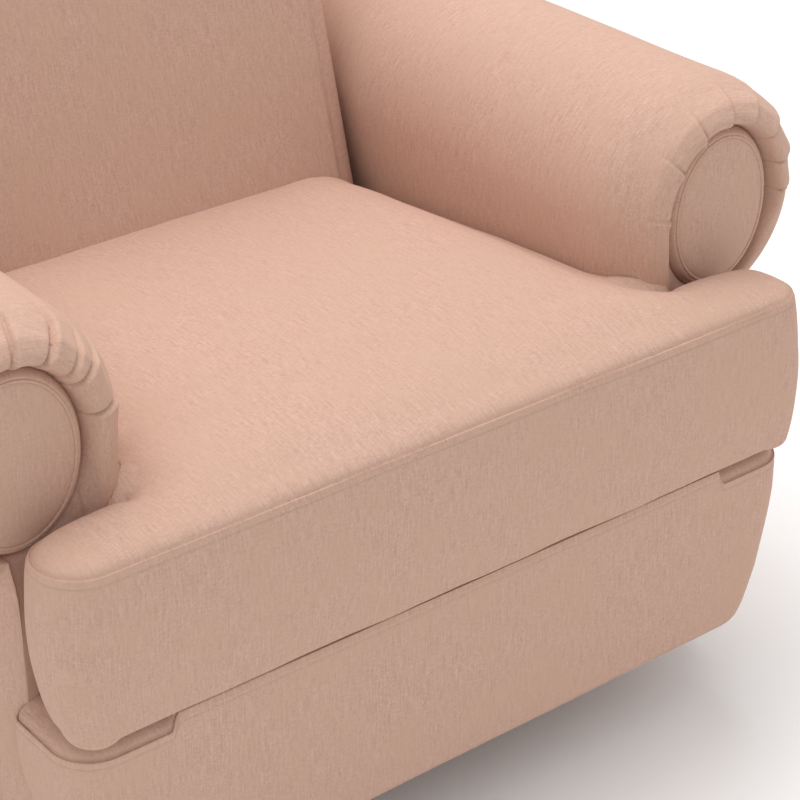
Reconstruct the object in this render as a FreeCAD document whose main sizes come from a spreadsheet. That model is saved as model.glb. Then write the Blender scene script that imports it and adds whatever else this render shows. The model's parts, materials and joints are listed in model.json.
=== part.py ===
import FreeCAD, Part
import math
import os
import re
import Sketcher
from FreeCAD import Placement, Rotation, Vector

# Upholstered swivel glider chair, millimetres.
# +X is the sitter's left, seen from the front as the viewer's right, -Y is the front, +Z is up.
# The origin is on the floor under the middle of the chair.

DIMENSIONS = (
    # upholstered outline
    ("seat_half_width", 250, "half the seat cushion's width between the arms"),
    ("seat_front", -418, "front of the seat cushion"),
    ("seat_rear", 60, "rear of the seat cushion before its slanted cut"),
    ("seat_under", 258.5, "underside of the seat cushion"),
    ("seat_top", 420, "top of the seat cushion before its crown"),
    ("ear_half_width", 390, "half the cushion's width across its ears"),
    ("ear_rear", -327, "rear of the cushion's ears"),
    ("ear_corner", 36, "plan radius of the ears' front corners"),
    ("ear_rear_corner", 42, "plan radius of the ears' rear corners"),
    ("notch_corner", 16, "plan radius where the ears meet the neck"),
    ("cushion_gap", 1, "gap between the seat cushion and the back"),
    ("cushion_edge", 14, "radius along the cushion's top and bottom edges"),
    ("cover_thick", 2.5, "upholstery fabric with its backing"),
    ("layer_gap", 0.5, "gap between two layers of upholstery"),
    ("skirt_bottom", 75, "underside of the upholstery above the floor"),
    # arms
    ("arm_inner", 254, "inner face of the arm wall from the middle"),
    ("arm_outer", 386, "outer face of the arm wall from the middle"),
    ("arm_wall_front", -315.5, "front of the arm wall"),
    ("arm_rear", 262, "rear of the arm"),
    ("roll_across", 360, "axis of the arm roll from the middle"),
    ("roll_height", 458.6, "axis of the arm roll above the floor"),
    ("roll_radius", 112, "outside radius of the arm roll"),
    ("roll_front", -316, "front face of the arm roll"),
    ("roll_nose", 30, "radius round the front of the arm roll"),
    ("arm_foam", 22, "foam on the arm"),
    ("arm_foam_outer", 4, "foam on the outer side of the arm wall"),
    ("board", 18, "thickness of the plywood boards"),
    ("disc_half_width", 61, "half the width of the arm's front disc"),
    ("disc_half_height", 77, "half the height of the arm's front disc"),
    ("disc_thick", 5, "thickness of the arm's front disc"),
    ("disc_height", 458.6, "centre of the arm's front disc above the floor"),
    # front panel
    ("panel_front", -410, "front face of the front panel"),
    ("panel_rear", -318, "rear face of the front panel"),
    ("panel_ledge", 242, "ledge of the front panel under the ears"),
    ("panel_half_top", 379, "half the front panel's width at the ledge"),
    ("panel_half_bottom", 350, "half the front panel's width at its underside"),
    ("panel_corner", 45, "radius of the front panel's lower corners"),
    ("panel_edge", 18, "radius along the front panel's front edges"),
    ("panel_foam", 20, "foam on the front panel"),
    # back
    ("back_rake", 16, "lean of the back, degrees"),
    ("back_foot_depth", 7.4, "front of the back's foot from the middle"),
    ("back_foot_height", 258, "height of the back's foot"),
    ("back_half_width", 246, "half the width of the back"),
    ("back_long", 735, "length of the inside back up its slope"),
    ("back_pad", 120, "thickness of the inside back pad"),
    ("shell_front", 121, "front of the outside back, from the face of the back"),
    ("shell_rear", 231.95, "rear of the outside back, from the face of the back"),
    ("shell_long", 715, "length of the outside back up its slope"),
    ("back_corner", 60, "radius of the back's upper corners"),
    ("back_edge", 40, "radius along the edges of the back"),
    ("rear_panel_rear", 262, "rear face of the panel under the back"),
    ("rear_panel_thick", 24, "thickness of the panel under the back"),
    ("rear_panel_top", 204, "top of the panel under the back"),
    # wooden frame
    ("rail_outer", 252, "outer face of the side rails"),
    ("rail_thick", 20, "thickness of the side rails"),
    ("rail_low", 150, "underside of the side rails"),
    ("rail_high", 193, "top of the side rails"),
    ("rail_front", -316, "front end of the side rails"),
    ("rail_back", 234, "rear end of the side rails"),
    ("spring_rail_top", 236, "top of the rails that hold the seat springs"),
    ("deck_low", 240.5, "underside of the padded deck"),
    ("block_side", 28, "leg of a corner block"),
    ("block_high", 34, "height of a corner block"),
    ("spring_rail_front", -16.5, "front of the rear spring rail"),
    ("spring_rail_thick", 22, "thickness of the spring rails"),
    ("post_inner", 199.5, "inner face of the back posts from the middle"),
    ("post_outer", 231.5, "outer face of the back posts from the middle"),
    ("post_front", 130, "front of the back posts, from the face of the back"),
    ("post_rear", 170, "rear of the back posts, from the face of the back"),
    ("wire", 1.9, "radius of the spring wire"),
    # base and swivel
    ("ring_radius", 270, "centre line of the floor ring"),
    ("ring_tube", 11, "radius of the floor ring's tube"),
    ("glide_radius", 12, "radius of a floor glide"),
    ("glide_high", 6, "height of a floor glide"),
    ("spider_half_width", 20, "half the width of a spider bar"),
    ("spider_high", 46, "top of the spider"),
    ("race_radius", 115, "radius of the lower bearing plate"),
    ("race_top", 50, "top of the lower bearing plate"),
    ("ball", 5, "radius of a bearing ball"),
    ("ball_circle", 95, "pitch radius of the balls"),
    ("running", 0.05, "running clearance of pins, balls and plates"),
    ("king_radius", 8, "radius of the king bolt"),
    ("king_top", 78, "top of the king bolt"),
    ("plate_half", 130, "half the side of the upper bearing plate"),
    ("plate_top", 65, "top of the upper bearing plate"),
    # glide mechanism
    ("lower_rail_inner", 150, "inner face of the lower rails"),
    ("lower_rail_outer", 180, "outer face of the lower rails"),
    ("lower_rail_top", 83, "top of the lower rails"),
    ("lower_rail_half", 175, "half the length of the lower rails"),
    ("bracket_thick", 4, "thickness of the hanger brackets"),
    ("pivot_span", 130, "front and rear pivots from the middle"),
    ("pivot_high", 205, "height of the hanging pivots"),
    ("pivot_low", 85, "height of the carrying pivots"),
    ("pin_radius", 5, "radius of the pivot pins"),
    ("open_pin_radius", 4.8, "radius of the rear carrying pins"),
    ("bush_radius", 8, "outside radius of the link bushes"),
    ("link_inner", 190, "inner face of the links"),
    ("link_outer", 195, "outer face of the links"),
    ("link_end", 15, "radius of the links' ends"),
    ("carrier_inner", 205, "inner face of the carrier rails"),
    ("carrier_thick", 4, "thickness of the carrier rails"),
    ("carrier_low", 72, "underside of the carrier rails"),
    ("carrier_half", 190, "half the length of the carrier rails"),
    ("tube_span", 25, "carrier tubes from the middle"),
    ("tube_height", 105, "height of the carrier tubes"),
    ("tube_radius", 8, "radius of the carrier tubes"),
)
ALIASES = {alias for alias, _, _ in DIMENSIONS}
WORD = re.compile("[a-z_]+")
BALLS = 16
GLIDES = 6
SPRING_PLACES = (-180, -90, 0, 90, 180)
BACK_SPRING_PLACES = (-120, 0, 120)
CARRIER_BOLTS = (-150, -50, 50, 150)

doc = FreeCAD.newDocument("glider_chair")
sheet = doc.addObject("Spreadsheet::Sheet", "Dims")
nodes = []


def fill_sheet():
    for row, (alias, value, note) in enumerate(DIMENSIONS, start=1):
        sheet.set(f"A{row}", note)
        sheet.set(f"B{row}", str(value))
        sheet.setAlias(f"B{row}", alias)
    doc.recompute()


def dim(alias):
    return float(sheet.get(alias))


def formula(text):
    """Names every alias in a formula as a cell of the sheet."""
    return WORD.sub(lambda m: "Dims." + m.group() if m.group() in ALIASES else m.group(), str(text))


def bind(item, prop, text):
    item.setExpression(prop, formula(text))


def place(piece, at):
    for letter, text in zip("xyz", at):
        bind(piece, f".Placement.Base.{letter}", text)


def node(piece):
    """Marks an object as a sub-part: its label is the name of its file."""
    nodes.append(piece)
    return piece


# --- primitives -----------------------------------------------------------------------------

ALONG = {"x": Rotation(Vector(0, 1, 0), 90), "y": Rotation(Vector(1, 0, 0), -90), "z": Rotation()}


def box(label, low, high):
    """A block between two corners, each of three formulas."""
    piece = doc.addObject("Part::Box", label)
    for prop, a, b in zip(("Length", "Width", "Height"), low, high):
        bind(piece, prop, f"({b}) - ({a})")
    place(piece, low)
    return piece


def rod(label, radius, start, end, at, along="z"):
    """A round bar from start to end along one axis, centred on the other two formulas of at."""
    piece = doc.addObject("Part::Cylinder", label)
    bind(piece, "Radius", radius)
    bind(piece, "Height", f"({end}) - ({start})")
    piece.Placement = Placement(Vector(), ALONG[along])
    spot = list(at)
    spot.insert("xyz".index(along), start)
    place(piece, spot)
    return piece


def group(label, members):
    piece = doc.addObject("Part::Compound", label)
    piece.Links = members
    return piece


def fuse(label, members):
    piece = doc.addObject("Part::MultiFuse", label)
    piece.Shapes = members
    return piece


def cut(label, base, tool):
    piece = doc.addObject("Part::Cut", label)
    piece.Base = base
    piece.Tool = tool
    return piece


def mirror(label, source):
    """The left-hand twin of a piece at positive X."""
    piece = doc.addObject("Part::Mirroring", label)
    piece.Source = source
    piece.Normal = (1, 0, 0)
    return piece


def tilt(piece, across, up, back):
    """Stands a piece on the leaning back: up its slope and behind its face, all as numbers."""
    turn = Rotation(Vector(1, 0, 0), -dim("back_rake"))
    foot = Vector(0, dim("back_foot_depth"), dim("back_foot_height"))
    piece.Placement = Placement(foot + turn.multVec(Vector(across, back, up)), turn)
    return piece


# --- sketches and bodies --------------------------------------------------------------------

def new_body(label):
    return doc.addObject("PartDesign::Body", label)


def new_sketch(body, role, name, offset="0"):
    sketch = body.newObject("Sketcher::SketchObject", name)
    plane = next(item for item in body.Origin.OriginFeatures if item.Role == role)
    sketch.AttachmentSupport = [(plane, "")]
    sketch.MapMode = "FlatFace"
    bind(sketch, ".AttachmentOffset.Base.z", offset)
    return sketch


def value_of(text):
    """What a formula gives with the sheet's present numbers, to draw a sketch before it is bound."""
    probe = doc.getObject("Probe") or doc.addObject("App::FeaturePython", "Probe")
    if "reading" not in probe.PropertiesList:
        probe.addProperty("App::PropertyFloat", "reading")
    bind(probe, "reading", text)
    probe.recompute()
    return probe.reading


def hold(sketch, geometry, point, name, across, up):
    """Fixes one point of a sketch at two formulas from the sketch's origin."""
    for kind, suffix, text in (("DistanceX", "across", across), ("DistanceY", "up", up)):
        index = sketch.addConstraint(Sketcher.Constraint(kind, -1, 1, geometry, point, value_of(text)))
        sketch.renameConstraint(index, f"{name}_{suffix}")
        bind(sketch, f"Constraints.{name}_{suffix}", text)


def draw_polygon(sketch, corners):
    """A closed outline of straight lines through corners of two formulas each."""
    points = [Vector(value_of(a), value_of(b), 0) for a, b in corners]
    count = len(points)
    for i in range(count):
        sketch.addGeometry(Part.LineSegment(points[i], points[(i + 1) % count]), False)
    for i in range(count):
        sketch.addConstraint(Sketcher.Constraint("Coincident", i, 2, (i + 1) % count, 1))
        hold(sketch, i, 1, f"corner{i}", *corners[i])


def draw_circle(sketch, name, across, up, radius):
    spot = Vector(value_of(across), value_of(up), 0)
    circle = sketch.addGeometry(Part.Circle(spot, Vector(0, 0, 1), value_of(radius)), False)
    hold(sketch, circle, 3, name, across, up)
    index = sketch.addConstraint(Sketcher.Constraint("Radius", circle, value_of(radius)))
    sketch.renameConstraint(index, f"{name}_radius")
    bind(sketch, f"Constraints.{name}_radius", radius)


def draw_slot(sketch, low, high, radius):
    """An upright slot outline about two centres on the sketch's vertical line."""
    r, a, b = value_of(radius), value_of(low), value_of(high)
    up = Vector(0, 0, 1)
    top = sketch.addGeometry(Part.ArcOfCircle(Part.Circle(Vector(0, b, 0), up, r), 0, math.pi), False)
    left = sketch.addGeometry(Part.LineSegment(Vector(-r, b, 0), Vector(-r, a, 0)), False)
    foot = Part.ArcOfCircle(Part.Circle(Vector(0, a, 0), up, r), math.pi, 2 * math.pi)
    bottom = sketch.addGeometry(foot, False)
    right = sketch.addGeometry(Part.LineSegment(Vector(r, a, 0), Vector(r, b, 0)), False)
    for first, second in ((top, left), (left, bottom), (bottom, right), (right, top)):
        sketch.addConstraint(Sketcher.Constraint("Tangent", first, 2, second, 1))
    sketch.addConstraint(Sketcher.Constraint("Equal", top, bottom))
    index = sketch.addConstraint(Sketcher.Constraint("Radius", top, r))
    sketch.renameConstraint(index, "end_radius")
    bind(sketch, "Constraints.end_radius", radius)
    hold(sketch, top, 3, "upper", "0", high)
    hold(sketch, bottom, 3, "lower", "0", low)


def pad(body, sketch, name, length, reverse=False):
    feature = body.newObject("PartDesign::Pad", name)
    feature.Profile = sketch
    feature.Reversed = reverse
    bind(feature, "Length", length)
    doc.recompute()
    return feature


def round_edges(body, name, radius, wanted):
    """Rounds the edges of the body's tip that the test picks by their end points."""
    tip = body.Tip
    names = [f"Edge{i}" for i, edge in enumerate(tip.Shape.Edges, start=1) if wanted(edge)]
    if not names:
        raise RuntimeError(f"{body.Label}: no edge to round for {name}")
    feature = body.newObject("PartDesign::Fillet", name)
    feature.Base = (tip, names)
    bind(feature, "Radius", radius)
    doc.recompute()
    return feature


def ends(edge):
    return [vertex.Point for vertex in edge.Vertexes]


def near(a, b):
    return abs(a - b) < 0.01


def is_upright(edge):
    a, b = edge.Vertexes[0].Point, edge.Vertexes[-1].Point
    return near(a.x, b.x) and near(a.y, b.y) and not near(a.z, b.z)


def stands_at(edge, depth):
    """Whether an edge is upright at a depth."""
    return is_upright(edge) and near(ends(edge)[0].y, depth)


def runs_deep(edge, height):
    """Whether an edge runs from front to back at a height."""
    a, b = ends(edge)[0], ends(edge)[-1]
    return near(a.x, b.x) and near(a.z, b.z) and near(a.z, height)


# --- upholstered forms ----------------------------------------------------------------------

def cushion_form(label, inset):
    """The T-shaped seat cushion, drawn in by inset on every side, its rear cut along the back."""
    body = new_body(label + "_form")
    sketch = new_sketch(body, "XY_Plane", label + "_plan", f"seat_under + {inset}")
    neck, ear = f"seat_half_width - {inset}", f"ear_half_width - {inset}"
    front, shoulder, rear = f"seat_front + {inset}", f"ear_rear - {inset}", f"seat_rear - {inset}"
    draw_polygon(sketch, (
        (f"-({ear})", front), (ear, front), (ear, shoulder), (neck, shoulder),
        (neck, rear), (f"-({neck})", rear), (f"-({neck})", shoulder), (f"-({ear})", shoulder)))
    pad(body, sketch, label + "_block", f"seat_top - seat_under - 2 * {inset}")
    low = dim("seat_front") + inset
    round_edges(body, label + "_ears", f"ear_corner - {inset}", lambda e: stands_at(e, low))
    shoulder_depth, neck_across = value_of(shoulder), value_of(neck)
    round_edges(body, label + "_ear_rears", f"ear_rear_corner - {inset}",
                lambda e: stands_at(e, shoulder_depth) and abs(ends(e)[0].x) > neck_across + 1)
    round_edges(body, label + "_notches", f"notch_corner - {inset}",
                lambda e: stands_at(e, shoulder_depth) and near(abs(ends(e)[0].x), neck_across))
    faces = (dim("seat_under") + inset, dim("seat_top") - inset)
    round_edges(body, label + "_rims", f"cushion_edge - {inset}",
                lambda e: any(all(near(p.z, face) for p in ends(e)) for face in faces))
    room = tilted_board(label + "_back_room", ("-seat_half_width - 10", "seat_half_width + 10"),
                        ("-80", "260"), (f"-cushion_gap - {inset}", "150"))
    return cut(label, body, room)


def arm_form(label, inset, outer_inset, below=0):
    """The right arm, a roll with a wall under it, drawn in by inset and by outer_inset outside."""
    body = new_body(label)
    roll = new_sketch(body, "XY_Plane", label + "_roll_half")
    front, rear, radius = f"roll_front + {inset}", f"arm_rear - {inset}", f"roll_radius - {inset}"
    draw_polygon(roll, (("0", front), (radius, front), (radius, rear), ("0", rear)))
    turned = body.newObject("PartDesign::Revolution", label + "_roll")
    turned.Profile = roll
    turned.ReferenceAxis = (roll, ["V_Axis"])
    turned.Angle = 360
    doc.recompute()
    nose = dim("roll_front") + inset
    round_edges(body, label + "_nose", f"roll_nose - {inset}",
                lambda e: near(e.BoundBox.YMin, nose) and near(e.BoundBox.YMax, nose))
    wall = new_sketch(body, "XZ_Plane", label + "_wall_section", f"-({rear})")
    left, right = f"arm_inner + {inset} - roll_across", f"arm_outer - {outer_inset} - roll_across"
    low = f"skirt_bottom - {below} - roll_height"
    draw_polygon(wall, ((left, low), (right, low), (right, "0"), (left, "0")))
    pad(body, wall, label + "_wall", f"arm_rear - arm_wall_front - 2 * {inset}")
    inner, face = value_of(left), dim("arm_wall_front") + inset
    round_edges(body, label + "_wall_corner", f"roll_nose - 2 - {inset}",
                lambda e: is_upright(e) and near(ends(e)[0].x, inner) and near(ends(e)[0].y, face))
    place(body, ("roll_across", "0", "roll_height"))
    return body


def panel_form(label, inset):
    """The front panel under the seat cushion, drawn in by inset."""
    body = new_body(label)
    sketch = new_sketch(body, "XZ_Plane", label + "_face", f"-(panel_rear - {inset})")
    top, ledge, low = f"seat_under - 1 - {inset}", f"panel_ledge - {inset}", f"skirt_bottom + {inset}"
    middle, wide = f"seat_half_width - {inset}", f"panel_half_top - {inset}"
    narrow = f"panel_half_bottom - {inset}"
    draw_polygon(sketch, (
        (f"-({narrow})", low), (narrow, low), (wide, ledge), (middle, ledge),
        (middle, top), (f"-({middle})", top), (f"-({middle})", ledge), (f"-({wide})", ledge)))
    pad(body, sketch, label + "_block", f"panel_rear - panel_front - 2 * {inset}")
    foot, face = dim("skirt_bottom") + inset, dim("panel_front") + inset
    round_edges(body, label + "_corners", f"panel_corner - {inset}", lambda e: runs_deep(e, foot))
    below_ledge = dim("panel_ledge") - 5
    round_edges(body, label + "_edges", f"panel_edge - {inset}",
                lambda e: all(near(p.y, face) for p in ends(e)) and min(p.z for p in ends(e)) < below_ledge)
    return body


def back_form(label, inset, front, rear, long, below=0):
    """A slab of the leaning back between two depths behind its face, drawn in by inset."""
    body = new_body(label)
    sketch = new_sketch(body, "XZ_Plane", label + "_face", f"-({rear} - {inset})")
    half, top, foot = f"back_half_width - {inset}", f"{long} - {inset}", f"{inset} - {below}"
    draw_polygon(sketch, ((f"-({half})", foot), (half, foot), (half, top), (f"-({half})", top)))
    pad(body, sketch, label + "_block", f"{rear} - {front} - 2 * {inset}")
    crown = value_of(top)
    round_edges(body, label + "_corners", f"back_corner - {inset}", lambda e: runs_deep(e, crown))
    return body


def round_back(body, label, inset, depth, radius):
    """Rounds the sides and top of a back slab along the face at the given depth."""
    face = value_of(depth)
    round_edges(body, label, f"{radius} - {inset}",
                lambda e: all(near(p.y, face) for p in ends(e)) and max(p.z for p in ends(e)) > 100)
    return body


def make_seat_cushion():
    outside = cushion_form("cushion_outside", 0)
    lining = cushion_form("cushion_lining", dim("cover_thick"))
    node(cut("seat_cushion_cover", outside, lining))
    node(cushion_form("seat_cushion_core", dim("cover_thick") + dim("layer_gap")))


def make_arms():
    cover, gap = dim("cover_thick"), dim("layer_gap")
    outside = arm_form("arm_outside", 0, 0)
    lining = arm_form("arm_lining", cover, cover, below=1)
    right = cut("arm_cover_right", outside, lining)
    foam = arm_form("arm_foam_block", cover + gap, cover + gap)
    hollow = arm_form("arm_foam_hollow", cover + gap + dim("arm_foam"),
                      cover + gap + dim("arm_foam_outer"), below=1)
    padding = cut("arm_padding_right", foam, hollow)
    for piece in (right, padding):
        node(piece)
        node(mirror(piece.Label.replace("right", "left"), piece))
    make_arm_frame()
    make_arm_discs()


def arm_board(label, front):
    """A plywood facing that fills the arm's section: a round head on a straight stem."""
    head = rod(label + "_head", "roll_radius - arm_foam - 5", front, f"{front} + board",
               ("roll_across", "roll_height"), "y")
    stem = box(label + "_stem", ("arm_inner + arm_foam + 5", front, "skirt_bottom + 3"),
               ("arm_outer - arm_foam_outer - 5", f"{front} + board", "roll_height"))
    return fuse(label, [head, stem])


def make_arm_frame():
    front = arm_board("arm_front_board_right", "arm_wall_front + arm_foam + 8")
    node(front)
    node(mirror("arm_front_board_left", front))
    rear = arm_board("arm_rear_board_right", "arm_rear - arm_foam - board - 5")
    node(group("arm_rear_boards", [rear, mirror("arm_rear_board_left", rear)]))
    start, stop = "arm_wall_front + arm_foam + board + 8.5", "arm_rear - arm_foam - board - 5.5"
    top = box("arm_top_rail", ("roll_across - 35", start, "roll_height + 30"),
              ("roll_across + 35", stop, "roll_height + 50"))
    foot = box("arm_foot_rail", ("arm_inner + arm_foam + 6", start, "skirt_bottom + 4"),
               ("arm_inner + arm_foam + 26", stop, "skirt_bottom + 60"))
    left = [mirror("arm_top_rail_left", top), mirror("arm_foot_rail_left", foot)]
    node(group("arm_rails", [top, foot] + left))
    dust = box("arm_dust_right",
               ("arm_inner + arm_foam + 5", "arm_wall_front + arm_foam + 5", "skirt_bottom + 0.5"),
               ("arm_outer - arm_foam_outer - 4", "arm_rear - arm_foam - 5", "skirt_bottom + 2"))
    node(group("arm_dust_covers", [dust, mirror("arm_dust_left", dust)]))


def make_arm_discs():
    """The oval facings on the fronts of the arm rolls."""
    oval = doc.addObject("Part::Ellipse", "arm_disc_outline")
    bind(oval, "MajorRadius", "disc_half_height")
    bind(oval, "MinorRadius", "disc_half_width")
    oval.Placement = Placement(Vector(), Rotation(Vector(0, 0, 1), 90))
    disc = doc.addObject("Part::Extrusion", "arm_disc_right")
    disc.Base = oval
    disc.DirMode = "Normal"
    disc.Solid = True
    bind(disc, "LengthFwd", "disc_thick")
    disc.Placement = Placement(Vector(), Rotation(Vector(1, 0, 0), 90))
    place(disc, ("roll_across", "roll_front - 0.3", "disc_height"))
    node(disc)
    node(mirror("arm_disc_left", disc))


def make_front_panel():
    cover, gap = dim("cover_thick"), dim("layer_gap")
    outside = panel_form("panel_outside", 0)
    lining = panel_form("panel_lining", cover)
    node(cut("front_panel_cover", outside, lining))
    foam = panel_form("panel_foam_block", cover + gap)
    low = ("-(panel_half_bottom - 24)", "panel_front + panel_foam + 3", "skirt_bottom + 23")
    high = ("panel_half_bottom - 24", "panel_rear - 2", "panel_ledge - 13")
    hollow = box("panel_foam_hollow", low, high)
    node(cut("front_panel_padding", foam, hollow))
    inside_low = [f"{text} + 0.5" for text in low]
    inside_high = ["panel_half_bottom - 24.5", "panel_rear - 4", "panel_ledge - 13.5"]
    timber = box("front_rail_block", inside_low, inside_high)
    front, rear = "panel_front + panel_foam + 23", "panel_rear - 1"
    foot, head = "skirt_bottom + 43", "panel_ledge - 33"
    room = [box(f"front_rail_room_{side}", (a, front, foot), (b, rear, head))
            for side, a, b in (("left", "-(panel_half_bottom - 44)", "-10"),
                               ("right", "10", "panel_half_bottom - 44"))]
    node(cut("front_rail_frame", timber, group("front_rail_rooms", room)))


def make_back():
    cover, gap = dim("cover_thick"), dim("layer_gap")

    def inside(label, inset):
        body = back_form(label, inset, "0", "back_pad", "back_long")
        round_back(body, label + "_face_edges", inset, f"{inset}", "back_edge")
        return tilt(body, 0, 0, 0)

    def outside(label, inset, below=0):
        body = back_form(label, inset, "shell_front", "shell_rear", "shell_long", below)
        round_back(body, label + "_rear_edges", inset, f"shell_rear - {inset}", "back_edge")
        return tilt(body, 0, 0, 0)

    node(cut("back_cover", inside("back_outside", 0), inside("back_lining", cover)))
    node(inside("back_core", cover + gap))
    shell = outside("outer_back_block", 0)
    node(cut("outer_back_cover", shell, outside("outer_back_hollow", cover, below=cover + 1)))
    make_back_frame()


def tilted_board(label, across, up, deep):
    """A timber of the leaning back, between pairs of formulas across, up the slope and deep."""
    piece = doc.addObject("Part::Box", label)
    for prop, (a, b) in (("Length", across), ("Width", deep), ("Height", up)):
        bind(piece, prop, f"({b}) - ({a})")
    return tilt(piece, value_of(across[0]), value_of(up[0]), value_of(deep[0]))


def make_back_frame():
    deep = ("post_front", "post_rear")
    right = tilted_board("back_post_right", ("post_inner", "post_outer"), ("-50", "shell_long - 50"), deep)
    node(right)
    node(mirror("back_post_left", right))
    inner = ("-post_inner + 0.3", "post_inner - 0.3")
    node(tilted_board("back_top_rail", inner, ("shell_long - 100", "shell_long - 50"), deep))
    node(tilted_board("back_lumbar_rail", inner, ("40", "90"), deep))


def make_seat_frame():
    low = ("rail_outer - rail_thick", "rail_front", "rail_low")
    timber = box("side_rail_timber", low, ("rail_outer", "rail_back", "rail_high"))
    holes = [rod(f"side_rail_hole{i}", "4.05", "rail_low - 1", "rail_low + 36", ("rail_outer - 10", y))
             for i, y in enumerate(CARRIER_BOLTS)]
    right = cut("side_rail_right", timber, group("side_rail_holes", holes))
    node(right)
    node(mirror("side_rail_left", right))
    between = "rail_outer - rail_thick - 0.3"
    node(box("front_seat_rail", (f"-({between})", "rail_front", "rail_low"),
             (between, "rail_front + spring_rail_thick", "spring_rail_top")))
    node(box("rear_seat_rail", (f"-({between})", "rail_back - spring_rail_thick", "rail_low"),
             (between, "rail_back", "rail_high")))
    node(box("rear_spring_rail", ("-rail_outer", "spring_rail_front", "rail_high + 0.2"),
             ("rail_outer", "spring_rail_front + spring_rail_thick", "spring_rail_top")))
    make_corner_blocks()
    node(box("deck_pad", ("-rail_outer", "rail_front", "deck_low"),
             ("rail_outer", "spring_rail_front + spring_rail_thick", "seat_under - 0.5")))


def make_corner_blocks():
    """Two triangular glue blocks in the front corners of the seat frame."""
    blocks = []
    inner = dim("rail_outer") - dim("rail_thick") - 0.5
    front = dim("rail_front") + dim("spring_rail_thick") + 0.2
    for i, (x, turn) in enumerate(((-inner, 0), (inner, 90))):
        block = doc.addObject("Part::Wedge", f"corner_block{i}")
        for prop in ("Xmin", "Ymin", "Zmin", "X2min", "Z2min"):
            setattr(block, prop, 0)
        block.X2max = 0.5
        for prop, text in (("Xmax", "block_side"), ("Ymax", "block_side"), ("Zmax", "block_high"),
                           ("Z2max", "block_high")):
            bind(block, prop, text)
        block.Placement = Placement(Vector(x, front, dim("rail_low") + 6), Rotation(Vector(0, 0, 1), turn))
        blocks.append(block)
    node(group("corner_blocks", blocks))


def zigzag(length, half_width, pitch, radius):
    """A sinuous spring along +Y: half circles joined by straight bars, as one swept wire."""
    bend = pitch / 2
    bars = int(length // pitch)
    margin = (length - (bars - 1) * pitch) / 2
    points = [Vector(0, 0, 0), Vector(0, margin, 0)]
    edges = [Part.LineSegment(*points).toShape()]
    here, side = points[-1], 1
    reach = half_width - bend
    for i in range(bars):
        start = Vector(side * -reach if i else 0, here.y, 0)
        stop = Vector(side * reach if i < bars - 1 else 0, here.y, 0)
        edges.append(Part.LineSegment(start, stop).toShape())
        if i < bars - 1:
            peak = Vector(side * half_width, here.y + bend, 0)
            following = Vector(stop.x, here.y + pitch, 0)
            edges.append(Part.Arc(stop, peak, following).toShape())
            here = Vector(0, here.y + pitch, 0)
            side = -side
    edges.append(Part.LineSegment(Vector(0, here.y, 0), Vector(0, length, 0)).toShape())
    path = Part.Wire(edges)
    ring = Part.Wire([Part.Circle(Vector(0, 0, 0), Vector(0, 1, 0), radius).toShape()])
    return path.makePipeShell([ring], True, False, 2)


def shaped(label, shape):
    """A sub-part whose shape is worked out here from the sheet's numbers."""
    piece = doc.addObject("Part::Feature", label)
    piece.Shape = shape
    return piece


def make_springs():
    """Sinuous springs under the seat and in the back, with a clip at each end."""
    overlap = 8
    start = dim("rail_front") + dim("spring_rail_thick") - overlap
    length = dim("spring_rail_front") + overlap - start
    spring = zigzag(length, 22, 20, dim("wire"))
    height = dim("spring_rail_top") + dim("wire") + 0.1
    seat_springs = []
    for i, across in enumerate(SPRING_PLACES):
        piece = shaped(f"seat_spring{i}", spring)
        piece.Placement = Placement(Vector(across, start, height), Rotation())
        seat_springs.append(piece)
    node(group("seat_springs", seat_springs))
    span = dim("shell_long") - 100 - 90 + 2 * overlap
    upright = zigzag(span, 22, 20, dim("wire"))
    back_springs = []
    for i, across in enumerate(BACK_SPRING_PLACES):
        piece = shaped(f"back_spring{i}", upright)
        tilt(piece, across, 90 - overlap, dim("post_front") - dim("wire") - 0.2)
        piece.Placement = piece.Placement.multiply(Placement(Vector(), Rotation(Vector(1, 0, 0), 90)))
        back_springs.append(piece)
    node(group("back_springs", back_springs))


def carrier_bolt(label, y):
    """A bolt up through the carrier rail's flange into the side rail."""
    spot = ("rail_outer - 10", y)
    head = rod(label + "_head", "8", "rail_low - 9", "rail_low - 4", spot)
    shank = rod(label + "_shank", "4", "rail_low - 4", "rail_low + 35", spot)
    return fuse(label, [head, shank])


# --- base and swivel ------------------------------------------------------------------------

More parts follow.
